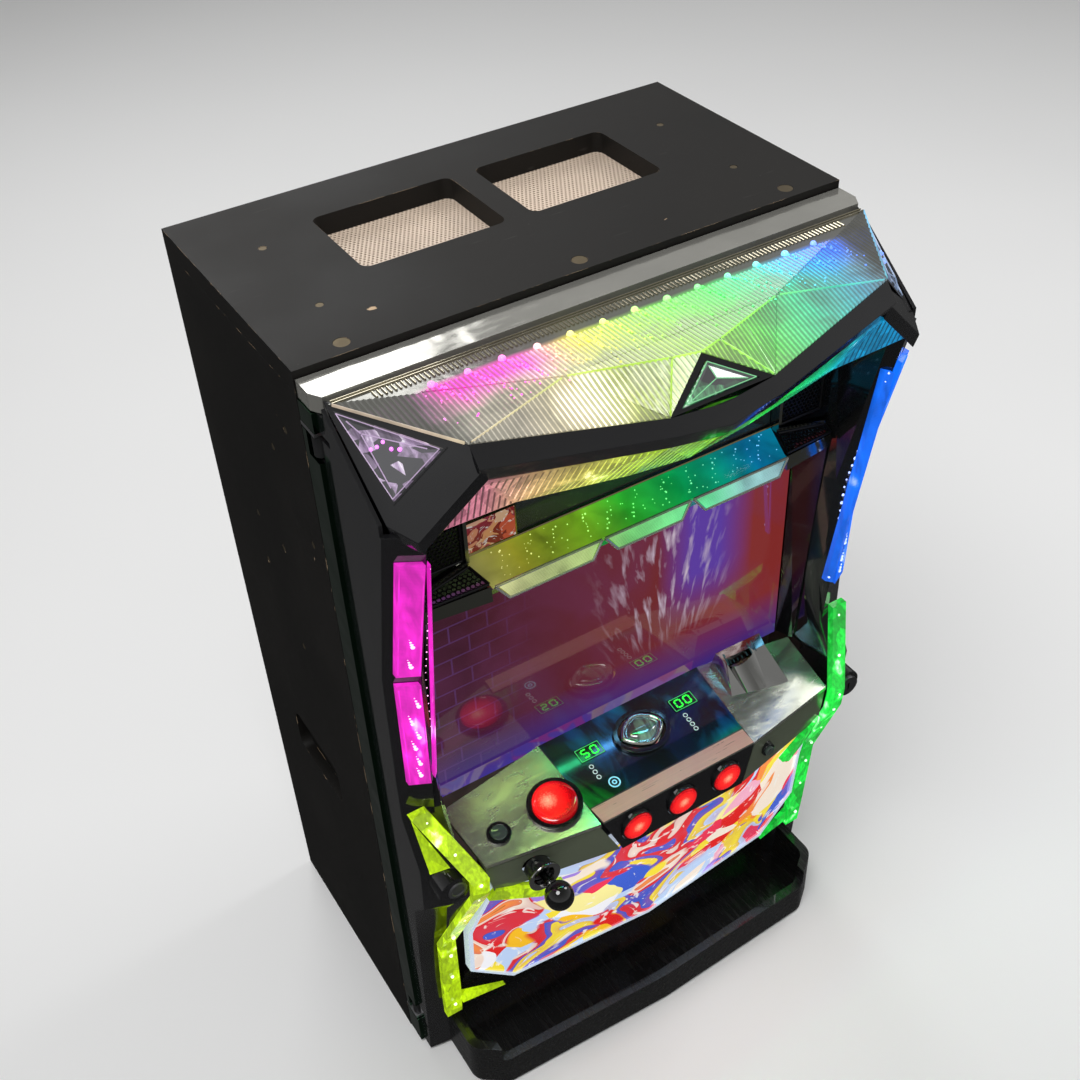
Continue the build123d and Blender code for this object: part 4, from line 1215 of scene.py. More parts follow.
def piece(name: str, bm: bmesh.types.BMesh, finish: Finish, body: str,
          smooth: float | None = None) -> bpy.types.Object:
    """Turn a mesh into a named piece that rides on a body.

    Args:
        name: The piece's name.
        bm: Its mesh, which is freed.
        finish: Its finish.
        body: The body that it rides on.
        smooth: Shade smoothly across edges under this angle in degrees, or flat if None.

    Returns:
        The piece.
    """
    bmesh.ops.recalc_face_normals(bm, faces=bm.faces)
    mesh = bpy.data.meshes.new(name)
    bm.to_mesh(mesh)
    bm.free()
    if smooth is not None:
        mesh.shade_smooth()
        mesh.set_sharp_from_angle(angle=math.radians(smooth))
    mesh.materials.append(finish.material())
    made = bpy.data.objects.new(name, mesh)
    bpy.context.scene.collection.objects.link(made)
    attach(made, body)
    LOG.info("piece %s: %d faces on %s", name, len(mesh.polygons), body)
    return made


def dress(node: str, finish: Finish) -> None:
    """Give a carried-over node its finish.

    Args:
        node: The node's name.
        finish: Its finish.
    """
    target = frame["nodes"][node]
    if not target.material_slots:
        target.data.materials.append(finish.material())
    for slot in target.material_slots:
        slot.material = finish.material()
    LOG.info("node %s: %s", node, finish.name)


def soften(node: str, finish: Finish, width: float, turn: float = 28.0) -> bpy.types.Object:
    """Stand in for a node with a copy whose edges are rounded; rounded faces are marked as edges.

    Args:
        node: The node.
        finish: The copy's finish.
        width: Width of the rounding, in millimetres.
        turn: Edges that turn more than this many degrees are rounded.

    Returns:
        The new piece.
    """
    source = frame["nodes"][node]
    bm = bmesh.new()
    bm.from_mesh(source.data)
    bmesh.ops.remove_doubles(bm, verts=bm.verts, dist=2e-6)
    bmesh.ops.dissolve_limit(bm, angle_limit=math.radians(0.8), verts=bm.verts, edges=bm.edges)
    mark = bm.faces.layers.float.new("edge")
    sharp = [e for e in bm.edges if len(e.link_faces) == 2 and e.calc_face_angle(0.0) > math.radians(turn)]
    made = bmesh.ops.bevel(bm, geom=sharp, offset=width * MM, offset_type="OFFSET", segments=2, profile=0.5,
                           affect="EDGES", clamp_overlap=True)
    for face in made["faces"]:
        face[mark] = 1.0
    made = piece(f"{node}_body", bm, finish, source["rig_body"], 50.0)
    weights = made.modifiers.new("weights", "WEIGHTED_NORMAL")
    weights.keep_sharp = True
    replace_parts(made, node)
    return made


# ------------------------------------------------------------------ sub-assemblies


@dataclass
class Cabinet:
    """The board box with its vents, screws and steel fittings."""

    edge: float = 0.9
    vent_inner: float = 8.0
    vent_outer: float = 140.5
    vent_front: float = 94.5
    vent_back: float = 197.5
    hole_pitch: float = 3.8
    hole: float = 1.2
    sheet: float = 1.1

    def boards(self) -> None:
        """Round and chip the boards' edges."""
        for node in ("side_panel_left", "side_panel_right", "top_panel"):
            soften(node, BOARD, self.edge)
        for node in ("bottom_panel", "back_panel", "reel_shelf"):
            dress(node, BOARD)

    def vents(self) -> None:
        """The two perforated sheets under the top board's openings."""
        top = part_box("vent_meshes")[1].z / MM
        bm = bmesh.new()
        for side in (-1, 1):
            x0, x1 = sorted((side * self.vent_inner, side * self.vent_outer))
            corners = [at(x0, self.vent_front, top), at(x1, self.vent_front, top),
                       at(x1, self.vent_back, top),
                       at(x0, self.vent_back, top)]
            add_holes(bm, corners, self.hole_pitch, self.hole, self.sheet)
        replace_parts(piece("vent_sheets", bm, CREAM, "cabinet"), "vent_meshes")

    def fittings(self) -> None:
        """Finishes of the fasteners and steel parts."""
        dress("panel_screws", BRASS)
        dress("hinge_brackets", STEEL)

    def build(self) -> None:
        """Build and dress the whole cabinet."""
        self.boards()
        self.vents()
        self.fittings()


@dataclass
class Insides:
    """What works behind the door: supply, hopper, boards and reels."""

    finishes: dict[str, Finish] = field(default_factory=lambda: {
        "power_unit": Satin("supply_grey", (0.24, 0.25, 0.26), 0.4, 0.6),
        "power_switch": Gloss("switch_black", (0.02, 0.02, 0.02)),
        "hopper_base": Satin("hopper_plastic", (0.04, 0.045, 0.05), 0.4),
        "hopper_bucket": Satin("bucket_plastic", (0.05, 0.055, 0.06), 0.35),
        "hopper_disc": Satin("disc_plastic", (0.62, 0.52, 0.06), 0.35),
        "overflow_tank": Satin("tank_plastic", (0.06, 0.065, 0.07), 0.4),
        "main_board_case": ClearSmoke("case_clear", (0.75, 0.84, 0.88), 0.8),
        "reel_frame": Satin("chassis_black", (0.03, 0.03, 0.033), 0.35, 0.4),
        "reel_motors": STEEL,
        "door_frame": MATT_BLACK,
    })

    def build(self) -> None:
        """Dress each inner node and print the reel strips."""
        for node, finish in self.finishes.items():
            dress(node, finish)
        for node in ("reel_left", "reel_centre", "reel_right"):
            low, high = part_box(node)
            dress(node, ReelStrip(f"{node}_strip", (low.x + high.x) / 2))


@dataclass
class LampRow:
    """The row of lamps under the top lens."""

    y = -60.0
    first: float = -166.0
    pitch: float = 27.4
    count: int = 13

    def places(self) -> list[float]:
        """Each lamp's x, in millimetres.

        Returns:
            The lamps' places.
        """
        return [self.first + self.pitch * i for i in range(self.count)]


@dataclass
class Brow:
    """The lit lens on top of the door with its crystals, black band and bright header."""

    apex: tuple[float, float, float] = (0, -136, 807)
    base: tuple[float, float, float] = (-44, -162, 786)
    corner: tuple[float, float, float] = (-176, -127, 799)
    back: tuple[float, float, float] = (-232, -38, 802)
    facet_out: tuple[float, float, float] = (-90, -105, 805)
    facet_in: tuple[float, float, float] = (-20, -130, 806.5)
    gem_top: tuple[float, float, float] = (-233, -31, 802)
    gem_tip: tuple[float, float, float] = (-219, -127, 737)
    rib_pitch: float = 3.7
    rib_rise: float = 0.9
    ladder_pitch: float = 3.6
    ladder_half: float = 202.0
    lamps: LampRow = field(default_factory=LampRow)

    def height(self, y: float) -> float:
        """Height of the lens's middle at a depth, in millimetres.

        Args:
            y: The depth, in millimetres.

        Returns:
            The height.
        """
        if y > self.facet_out[1]:
            share = (y - self.back[1]) / (self.facet_out[1] - self.back[1])
            return self.back[2] + share * (self.facet_out[2] - self.back[2])
        share = (y - self.facet_out[1]) / (self.facet_in[1] - self.facet_out[1])
        return self.facet_out[2] + min(share, 1.0) * (self.facet_in[2] - self.facet_out[2])

    def facets(self) -> list[list[Vector]]:
        """The ribbed facets, left half mirrored to the right.

        Returns:
            Each facet's corners.
        """
        back, corner, base = at(*self.back), at(*self.corner), at(*self.base)
        out, inner, apex = at(*self.facet_out), at(*self.facet_in), at(*self.apex)
        start_y = LampRow.y - 3
        share = (start_y - self.back[1]) / (self.facet_out[1] - self.back[1])
        start = back.lerp(out, share)
        halves = [[back, corner, out], [corner, base, out], [base, inner, out], [base, apex, inner]]
        wings = halves + [[mirrored(p) for p in reversed(facet)] for facet in halves]
        return wings + [
            [start, out, mirrored(out), mirrored(start)],
            [out, inner, mirrored(inner), mirrored(out)],
            [inner, apex, mirrored(inner)],
        ]

    def ribs(self) -> None:
        """Front-to-back ribs on every facet."""
        bm = bmesh.new()
        for facet in self.facets():
            shrunk = self.shrink(facet, 0.985)
            add_ribs(bm, shrunk, FORWARD, self.rib_pitch, self.rib_rise)
        piece("brow_ribs", bm, BrowLens(name="brow_rib_lens"), "door")
        dress("top_lens", BrowLens(name="brow_base_lens", ribbed=False, strength=0.55))

    def shrink(self, corners: Sequence[Vector], share: float) -> list[Vector]:
        """The same polygon, a little smaller round its middle.

        Args:
            corners: The polygon.
            share: Its new size, as a share.

        Returns:
            The new corners.
        """
        middle = sum(corners, Vector()) / len(corners)
        return [middle.lerp(p, share) for p in corners]

    def seams(self) -> None:
        """Bright borders where the facets meet."""
        bm = bmesh.new()
        points = [at(*p) for p in (self.back, self.corner, self.base, self.facet_out, self.facet_in,
                                   self.apex)]
        back, corner, base, out, inner, apex = points
        lines = [(corner, out), (out, inner), (base, inner), (inner, apex), (back, corner)]
        for one, two in lines:
            for a, b in ((one, two), (mirrored(one), mirrored(two))):
                add_bar(bm, a.lerp(b, 0.03), a.lerp(b, 0.97), 1.3, 1.5, UP)
        border = [(corner, base), (base, apex)]
        shift = at(0, 5.5, 0) - at(0, 0, 1.2)
        for one, two in border:
            for a, b in ((one, two), (mirrored(one), mirrored(two))):
                add_bar(bm, a.lerp(b, 0.06) + shift, a.lerp(b, 0.94) + shift, 4.2, 1.3, UP)
        stops: Stops = ((0.10, (0.5, 0.4, 0.3)), (0.24, (0.75, 0.68, 0.35)), (0.36, (0.62, 0.90, 0.10)),
                        (0.64, (0.30, 0.92, 0.12)), (0.78, (0.08, 0.75, 0.50)), (0.90, (0.2, 0.5, 0.75)))
        piece("brow_seams", bm, LitLens("brow_seam", stops, 1.15, Pattern.CLOUD, white=0.4), "door")

    def ladder(self) -> None:
        """Short bright rungs along the lens's back edge, between two thin rails."""
        bm = bmesh.new()
        front, rear = -51.0, -43.0
        count = int(2 * self.ladder_half / self.ladder_pitch)
        for i in range(count + 1):
            x = -self.ladder_half + i * self.ladder_pitch
            add_bar(bm, at(x, front, self.height(front) + 0.3), at(x, rear, self.height(rear) + 0.3), 1.7,
                    0.9, UP)
        for y, width in ((-40.3, 1.6), (-37.0, 1.2)):
            z = self.height(y) + 0.4
            add_bar(bm, at(-230, y, z), at(230, y, z), width, 0.9, UP)
        piece("brow_ladder", bm, Plated("gold_plate", (0.72, 0.66, 0.50), 0.08), "door")

    def lamp_beads(self) -> None:
        """The lamps' hot points, the trails that run off them and stray sparks."""
        rng = random.Random(5)
        bm = bmesh.new()
        sparks = bmesh.new()
        for x in self.lamps.places():
            y = LampRow.y + rng.uniform(-1.2, 1.2)
            add_bead(bm, at(x, y, self.height(y) + 0.9), rng.uniform(2.3, 2.9), UP, 14)
            for step in range(1, 13):
                tx, ty = x + 1.1 * step + rng.uniform(-2.2, 2.2), y - 3.2 * step + rng.uniform(-1, 1)
                size = (1.5 - 0.07 * step) * rng.uniform(0.5, 1.1)
                add_bead(sparks, at(tx, ty, self.height(ty) + 1.1), size, UP, 8)
            for _ in range(12):
                tx, ty = x + rng.uniform(-14, 14), y - rng.uniform(8, 54)
                add_bead(sparks, at(tx, ty, self.height(ty) + 1.1), rng.uniform(0.4, 0.9), UP, 6)
        piece("brow_lamps", bm, Lamp("brow_lamp", RAINBOW, 1.9, 0.16), "door", 40.0)
        piece("brow_sparks", sparks, Lamp("brow_spark", RAINBOW, 1.35, 0.1), "door", 40.0)

    def gem_place(self, u: float, v: float) -> Vector:
        """A point of the left corner's slanted window.

        Args:
            u: Share of the way towards the lens's corner.
            v: Share of the way down to the tip.

        Returns:
            The place.
        """
        top, corner, tip = at(*self.gem_top), at(*self.corner), at(*self.gem_tip)
        return top + (corner - top) * u + (tip - top) * v

    def crystal(self, name: str, corners: Sequence[Vector], tint: Colour, focus: float) -> None:
        """A stepped three-sided crystal with lit inner lines.

        Args:
            name: The piece's name.
            corners: The window that it fills.
            tint: The lamp's colour.
            focus: How far its peak leans to the last corner.
        """
        normal = normal_of(corners)
        if normal.dot(Vector((0, -0.6, 0.8))) < 0:
            normal, corners = -normal, list(reversed(corners))
        middle = sum(corners, Vector()) / 3
        rings = [(0.96, -5.0), (0.96, 0.2), (0.9, 1.2), (0.74, 0.4)]
        bm = bmesh.new()
        loops = [[middle.lerp(p, share) + normal * lift * MM for p in corners] for share, lift in rings]
        peak = middle.lerp(corners[-1], focus) + normal * 2.6 * MM
        add_loft(bm, loops, False)
        bm.faces.new([bm.verts.new(p) for p in reversed(loops[0])])
        for a, b in zip(loops[-1], [*loops[-1][1:], loops[-1][0]]):
            bm.faces.new([bm.verts.new(p) for p in (a, b, peak)])
        bmesh.ops.remove_doubles(bm, verts=bm.verts, dist=1e-6)
        piece(name, bm, Crystal(f"{name}_acrylic", tint), "door")
        lines = bmesh.new()
        for point in loops[-1]:
            add_bar(lines, point.lerp(peak, 0.05), point.lerp(peak, 0.98), 0.8, 0.5, normal)
        for a, b in around(loops[2]):
            add_bar(lines, a, b, 0.7, 0.4, normal)
        piece(f"{name}_lines", lines, Signal(f"{name}_line", tuple(0.15 + 0.6 * c for c in tint), 0.42),
              "door")

    def gems(self) -> None:
        """Crystals in both corners and in the middle triangle."""
        left = [self.gem_place(0.02, 0.06), self.gem_place(0.79, 0.09), self.gem_place(0.02, 0.72)]
        right = [mirrored(p) for p in left]
        self.crystal("corner_gem_left", left, (0.55, 0.35, 0.65), 0.45)
        self.crystal("corner_gem_right", right, (0.25, 0.42, 0.75), 0.45)
        apex, base = at(*self.apex), at(*self.base)
        centre = (apex + base + mirrored(base)) / 3
        middle = [centre.lerp(p, 0.74) for p in (base, mirrored(base), apex)]
        self.crystal("middle_gem", middle, (0.12, 0.75, 0.25), 0.1)
        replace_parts(bpy.data.objects["middle_gem"], "brow_gems")
        beads = bmesh.new()
        normal = normal_of(left)
        normal = normal if normal.z > 0 else -normal
        for u, v in ((0.30, 0.2), (0.33, 0.24), (0.22, 0.26), (0.15, 0.3), (0.4, 0.22)):
            spot = self.gem_place(u, v) + normal * 1.6 * MM
            add_bead(beads, spot, 1.5, normal)
            add_bead(beads, mirrored(spot), 1.2, mirrored(normal))
        stops: Stops = ((0.0, (0.8, 0.05, 0.95)), (0.49, (0.8, 0.05, 0.95)), (0.51, BLUE), (1.0, BLUE))
        piece("gem_lamps", beads, Lamp("gem_lamp", stops, 1.6, 0.15), "door", 40.0)

    def lower_lens(self) -> None:
        """Ribs on the lit soffit under the band."""
        tip, outer, inner = at(-217, -124, 737.5), at(-172, -133, 770), at(-44, -160, 760)
        low_out, low_in = at(-140, -118, 730), at(-52, -126, 719)
        front, rear = at(0, -163, 755), at(0, -128, 714)
        halves = [[tip, outer, low_out], [outer, inner, low_out], [inner, low_in, low_out],
                  [inner, front, rear],
                  [inner, rear, low_in]]
        bm = bmesh.new()
        for facet in halves:
            for corners in (facet, [mirrored(p) for p in facet]):
                shrunk = self.shrink(corners, 0.94)
                normal = normal_of(shrunk)
                if normal.y > 0:
                    shrunk = list(reversed(shrunk))
                add_ribs(bm, shrunk, Vector((0, -0.7, 0.7)), 5.0, 0.9, 0.3)
        finish = LitLens("soffit_ribs", SOFFIT, 1.0, Pattern.RIBS, 5.0, 0.25)
        piece("soffit_ribs", bm, finish, "door")
        dress("brow_lower_lens", LitLens("soffit_lens", SOFFIT, 0.75, Pattern.CUT_GLASS, white=0.3))

    def build(self) -> None:
        """Build the whole brow."""
        self.ribs()
        self.seams()
        self.ladder()
        self.lamp_beads()
        self.gems()
        self.lower_lens()
        soften("brow_band", PIANO, 0.8)
        soften("corner_frames", PIANO, 0.9)
        dress("chrome_header", HEADER_CHROME)


@dataclass
class Pillars:
    """The door's side mouldings with their lit bars and folded arms."""

    levels: tuple[tuple[float, float, float, float], ...] = (
        (398, -61, -70, -74), (443, -61, -74, -67), (568, -66, -80, -72), (735, -106, -122, -112),
    )
    arm_line: tuple[tuple[float, float, float], ...] = (
        (-222, -73, 402), (-209, -93, 372), (-197, -112, 342), (-198, -106, 316), (-205, -86, 268),
        (-211, -70, 226), (-213, -63, 190), (-213, -59, 150), (-213, -57, 100),
    )

    def face(self, x: float, z: float, lift: float) -> Vector:
        """A place ahead of the left pillar's front.

        Args:
            x: Distance from the middle, in millimetres.
            z: Height.
            lift: How far ahead of the pillar.

        Returns:
            The place.
        """
        for low, high in zip(self.levels, self.levels[1:]):
            if low[0] <= z <= high[0]:
                t = (z - low[0]) / (high[0] - low[0])
                outer, ridge, inner = (a + (b - a) * t for a, b in zip(low[1:], high[1:]))
                break
        edge_x, edge_y = (236.0, outer) if x > 210 else (204.0, inner)
        share = (x - edge_x) / (210 - edge_x)
        return at(-x, edge_y + share * (ridge - edge_y) - lift, z)

    def lamps(self) -> None:
        """Lit bars: magenta on the left, blue on the right, with fine edge lines and drops of light."""
        dress("pillar_lamps", LitLens("pillar_lens", PILLAR, 1.05, Pattern.TUBE, white=0.65))
        rng = random.Random(11)
        drops, lines = bmesh.new(), bmesh.new()
        for low, high, count in ((580, 706, 2), (450, 560, 6)):
            for i in range(count):
                z = low + (high - low) * (i + rng.uniform(0.25, 0.6)) / count * (0.35 if count == 2 else 0.9)
                x = rng.uniform(215, 222)
                for k in range(4):
                    spot = self.face(x + 0.8 * k, z + 3.2 * k, 5.2)
                    for place in (spot, mirrored(spot)):
                        add_bead(drops, place, 2.0 - 0.42 * k, FORWARD, 10)
            for x in (213.4, 227.8):
                a, b = self.face(x, low, 5.7), self.face(x, high, 5.7)
                middle = self.face(x, 568, 5.7) if low < 568 < high else a.lerp(b, 0.5)
                for one, two in ((a, middle), (middle, b)):
                    add_bar(lines, one, two, 0.7, 0.5, FORWARD)
                    add_bar(lines, mirrored(one), mirrored(two), 0.7, 0.5, FORWARD)
        for z in range(456, 700, 9):
            spot = self.face(206.6, z, 5.4)
            add_bead(drops, spot, rng.uniform(0.3, 0.6), FORWARD, 6)
            add_bead(drops, mirrored(spot), rng.uniform(0.8, 1.5), FORWARD, 8)
        piece("pillar_drops", drops, Lamp("pillar_lamp", PILLAR, 1.8, 0.42), "door", 40.0)
        piece("pillar_lines", lines, LitLens("pillar_line", PILLAR, 1.3, Pattern.CLOUD, white=0.8), "door")

    def arms(self) -> None:
        """The folded arms and small windows: lime on the left, green on the right."""
        dress("arm_lenses", LitLens("arm_lens", ARM, 1.05, Pattern.CUT_GLASS, white=0.4))
        bm = bmesh.new()
        rng = random.Random(3)
        for x, y, z in self.arm_line:
            for spot in (at(x, y - 6.2, z), mirrored(at(x, y - 6.2, z))):
                add_bead(bm, spot, rng.uniform(1.2, 1.9), FORWARD)
        piece("arm_beads", bm, Lamp("arm_lamp", ARM, 1.8, 0.5), "door", 40.0)

    def boss(self) -> None:
        """The grey disc in the left boss, a twin of the lock."""
        low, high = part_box("key_cylinder")
        centre = Vector((-(low.x + high.x) / 2, at(0, -106.2, 0).y, (low.z + high.z) / 2))
        bm = bmesh.new()
        add_lathe(bm, centre, FORWARD, [(9, -1), (9, 0.4), (8.2, 1.0), (6.0, 1.1), (5.4, 0.5), (0, 0.4)])
        piece("boss_disc", bm, Satin("boss_grey", (0.16, 0.16, 0.17), 0.35, 0.8), "door", 30.0)

    def build(self) -> None:
        """Build and dress both pillars."""
        soften("pillars", PIANO, 0.8)
        dress("side_trims", GREEN_CHROME)
        self.lamps()
        self.arms()
        self.boss()
        dress("key_cylinder", Satin("lock_metal", (0.22, 0.22, 0.23), 0.3, 1.0))


@dataclass
class Recess:
    """The upper recess: reel window, awning with tabs, grilles and bright bars."""

    grille_pitch: float = 4.0
    grille_hole: float = 1.75
    awning_top: tuple[float, float] = (-45.0, 631.0)
    awning_low: tuple[float, float] = (-76.0, 622.0)
    tabs: tuple[tuple[float, float], ...] = ((-140, -44), (-41, 41), (44, 140))

    def grilles(self) -> None:
        """Hexagonal mesh in front of the speakers, and on the slopes below them."""
        upper = [at(-196, -51, 635), at(-151.5, -51, 635), at(-151.5, -51, 733), at(-196, -51, 733)]
        slope = [at(-196, -67, 619.2), at(-143, -74, 623.7), at(-149, -54, 629.2), at(-196, -59, 622.7)]
        bm = bmesh.new()
        for corners in (upper, slope):
            for quad in (corners, [mirrored(p) for p in reversed(corners)]):
                add_holes(bm, quad, self.grille_pitch, self.grille_hole, 1.0)
                for a, b in around(quad):
                    add_bar(bm, a, b, 2.6, 1.0, FORWARD)
        made = piece("grille_mesh", bm, Satin("mesh_black", (0.02, 0.02, 0.022), 0.3, 0.5), "door")
        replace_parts(made, "speaker_grilles")
        dress("speaker_drivers", Satin("speaker_cone", (0.02, 0.02, 0.02), 0.6))

    def awning(self) -> None:
        """The tinted awning with its lamp trails."""
        dress("shelf_lens", LitLens("awning_lens", AWNING, 0.60, Pattern.CLOUD, white=0.15))
        bm = bmesh.new()
        rng = random.Random(8)
        top, low = self.awning_top, self.awning_low
        slope = at(0, *low) - at(0, *top)
        normal = Vector((1, 0, 0)).cross(slope).normalized()
        normal = normal if normal.y < 0 else -normal
        for x in range(-118, 140, 25):
            lean = rng.uniform(1.0, 3.4)
            for step in range(7):
                share = 0.15 + 0.11 * step + rng.uniform(-0.05, 0.05)
                spot = at(x - lean * step + rng.uniform(-2.2, 2.2), *top) + slope * share + normal * 0.4 * MM
                add_bead(bm, spot, rng.uniform(0.25, 0.8), normal, 8)
            for _ in range(5):
                spot = at(x + rng.uniform(-12, 12), *top) + slope * rng.uniform(0.1, 0.9) + normal * 0.4 * MM
                add_bead(bm, spot, rng.uniform(0.3, 0.6), normal, 6)
        piece("awning_sparks", bm, Lamp("awning_spark", AWNING, 1.6, 0.12), "door", 40.0)

    def tab_ribs(self) -> None:
        """Fine ribs and a bright border on each of the awning's tabs."""
        bm, rims = bmesh.new(), bmesh.new()
        for x0, x1 in self.tabs:
            quad = [at(x0 + 3, -78, 621.5), at(x0 + 11, -80.3, 610),
                    at(x1 - 11, -80.3, 610), at(x1 - 3, -78, 621.5)]
            add_ribs(bm, quad, Vector((0.5, -0.2, -1)), 2.0, 0.5, 0.2)
            outline = [at(x0, -78, 622.5), at(x0 + 10, -80.5, 609),
                       at(x1 - 10, -80.5, 609), at(x1, -78, 622.5)]
            for a, b in around(outline):
                add_bar(rims, a, b, 2.2, 1.4, Vector((0, -1, 0.3)))
        pale: Stops = ((0.2, (0.62, 0.62, 0.30)), (0.38, (0.45, 0.62, 0.22)), (0.46, (0.25, 0.85, 0.25)),
                       (0.62, (0.15, 0.80, 0.35)), (0.7, (0.30, 0.62, 0.60)), (0.82, (0.35, 0.55, 0.62)))
        piece("tab_ribs", bm, LitLens("tab_rib_lens", pale, 0.95, Pattern.CLOUD, white=0.3), "door")
        piece("tab_rims", rims, Plated("rim_plate", (0.75, 0.78, 0.70), 0.12, 0.2, 0.0, 0.6), "door")

    def picture(self) -> None:
        """A small abstract picture at the recess's left, lit from behind."""
        bm = bmesh.new()
        corners = [at(-146, -46.5, 634.5), at(-102, -46.5, 634.5), at(-102, -46.5, 664), at(-146, -46.5, 664)]
        add_loft(bm, [corners, [p + Vector((0, -0.6 * MM, 0)) for p in corners]])
        stops: Stops = ((0.0, (0.25, 0.02, 0.02)), (0.3, (0.65, 0.10, 0.05)), (0.5, (0.75, 0.35, 0.15)),
                        (0.65, (0.5, 0.05, 0.05)), (0.8, (0.8, 0.5, 0.3)), (1.0, (0.2, 0.02, 0.03)))
        piece("recess_picture", bm, BackLitPrint("recess_print", stops, 90, 0.5), "door")
        frame_bm = bmesh.new()
        for a, b in around(corners):
            add_bar(frame_bm, a, b, 1.4, 1.4, FORWARD)
        add_bar(frame_bm, at(-147.5, -46, 632.5), at(147.5, -46, 632.5), 1.8, 1.2, FORWARD)
        piece("recess_rims", frame_bm, Plated("gold_rim", (0.55, 0.45, 0.25), 0.12), "door")

    def build(self) -> None:
        """Build and dress the recess."""
        self.grilles()
        self.awning()
        self.tab_ribs()
        self.picture()
        dress("chrome_trims", TRIM_CHROME)
        dress("window_bezel", PIANO)
        dress("reel_window", ClearSmoke("window_smoke", (0.10, 0.12, 0.12), 0.6))
        dress("screen", ScreenPicture())


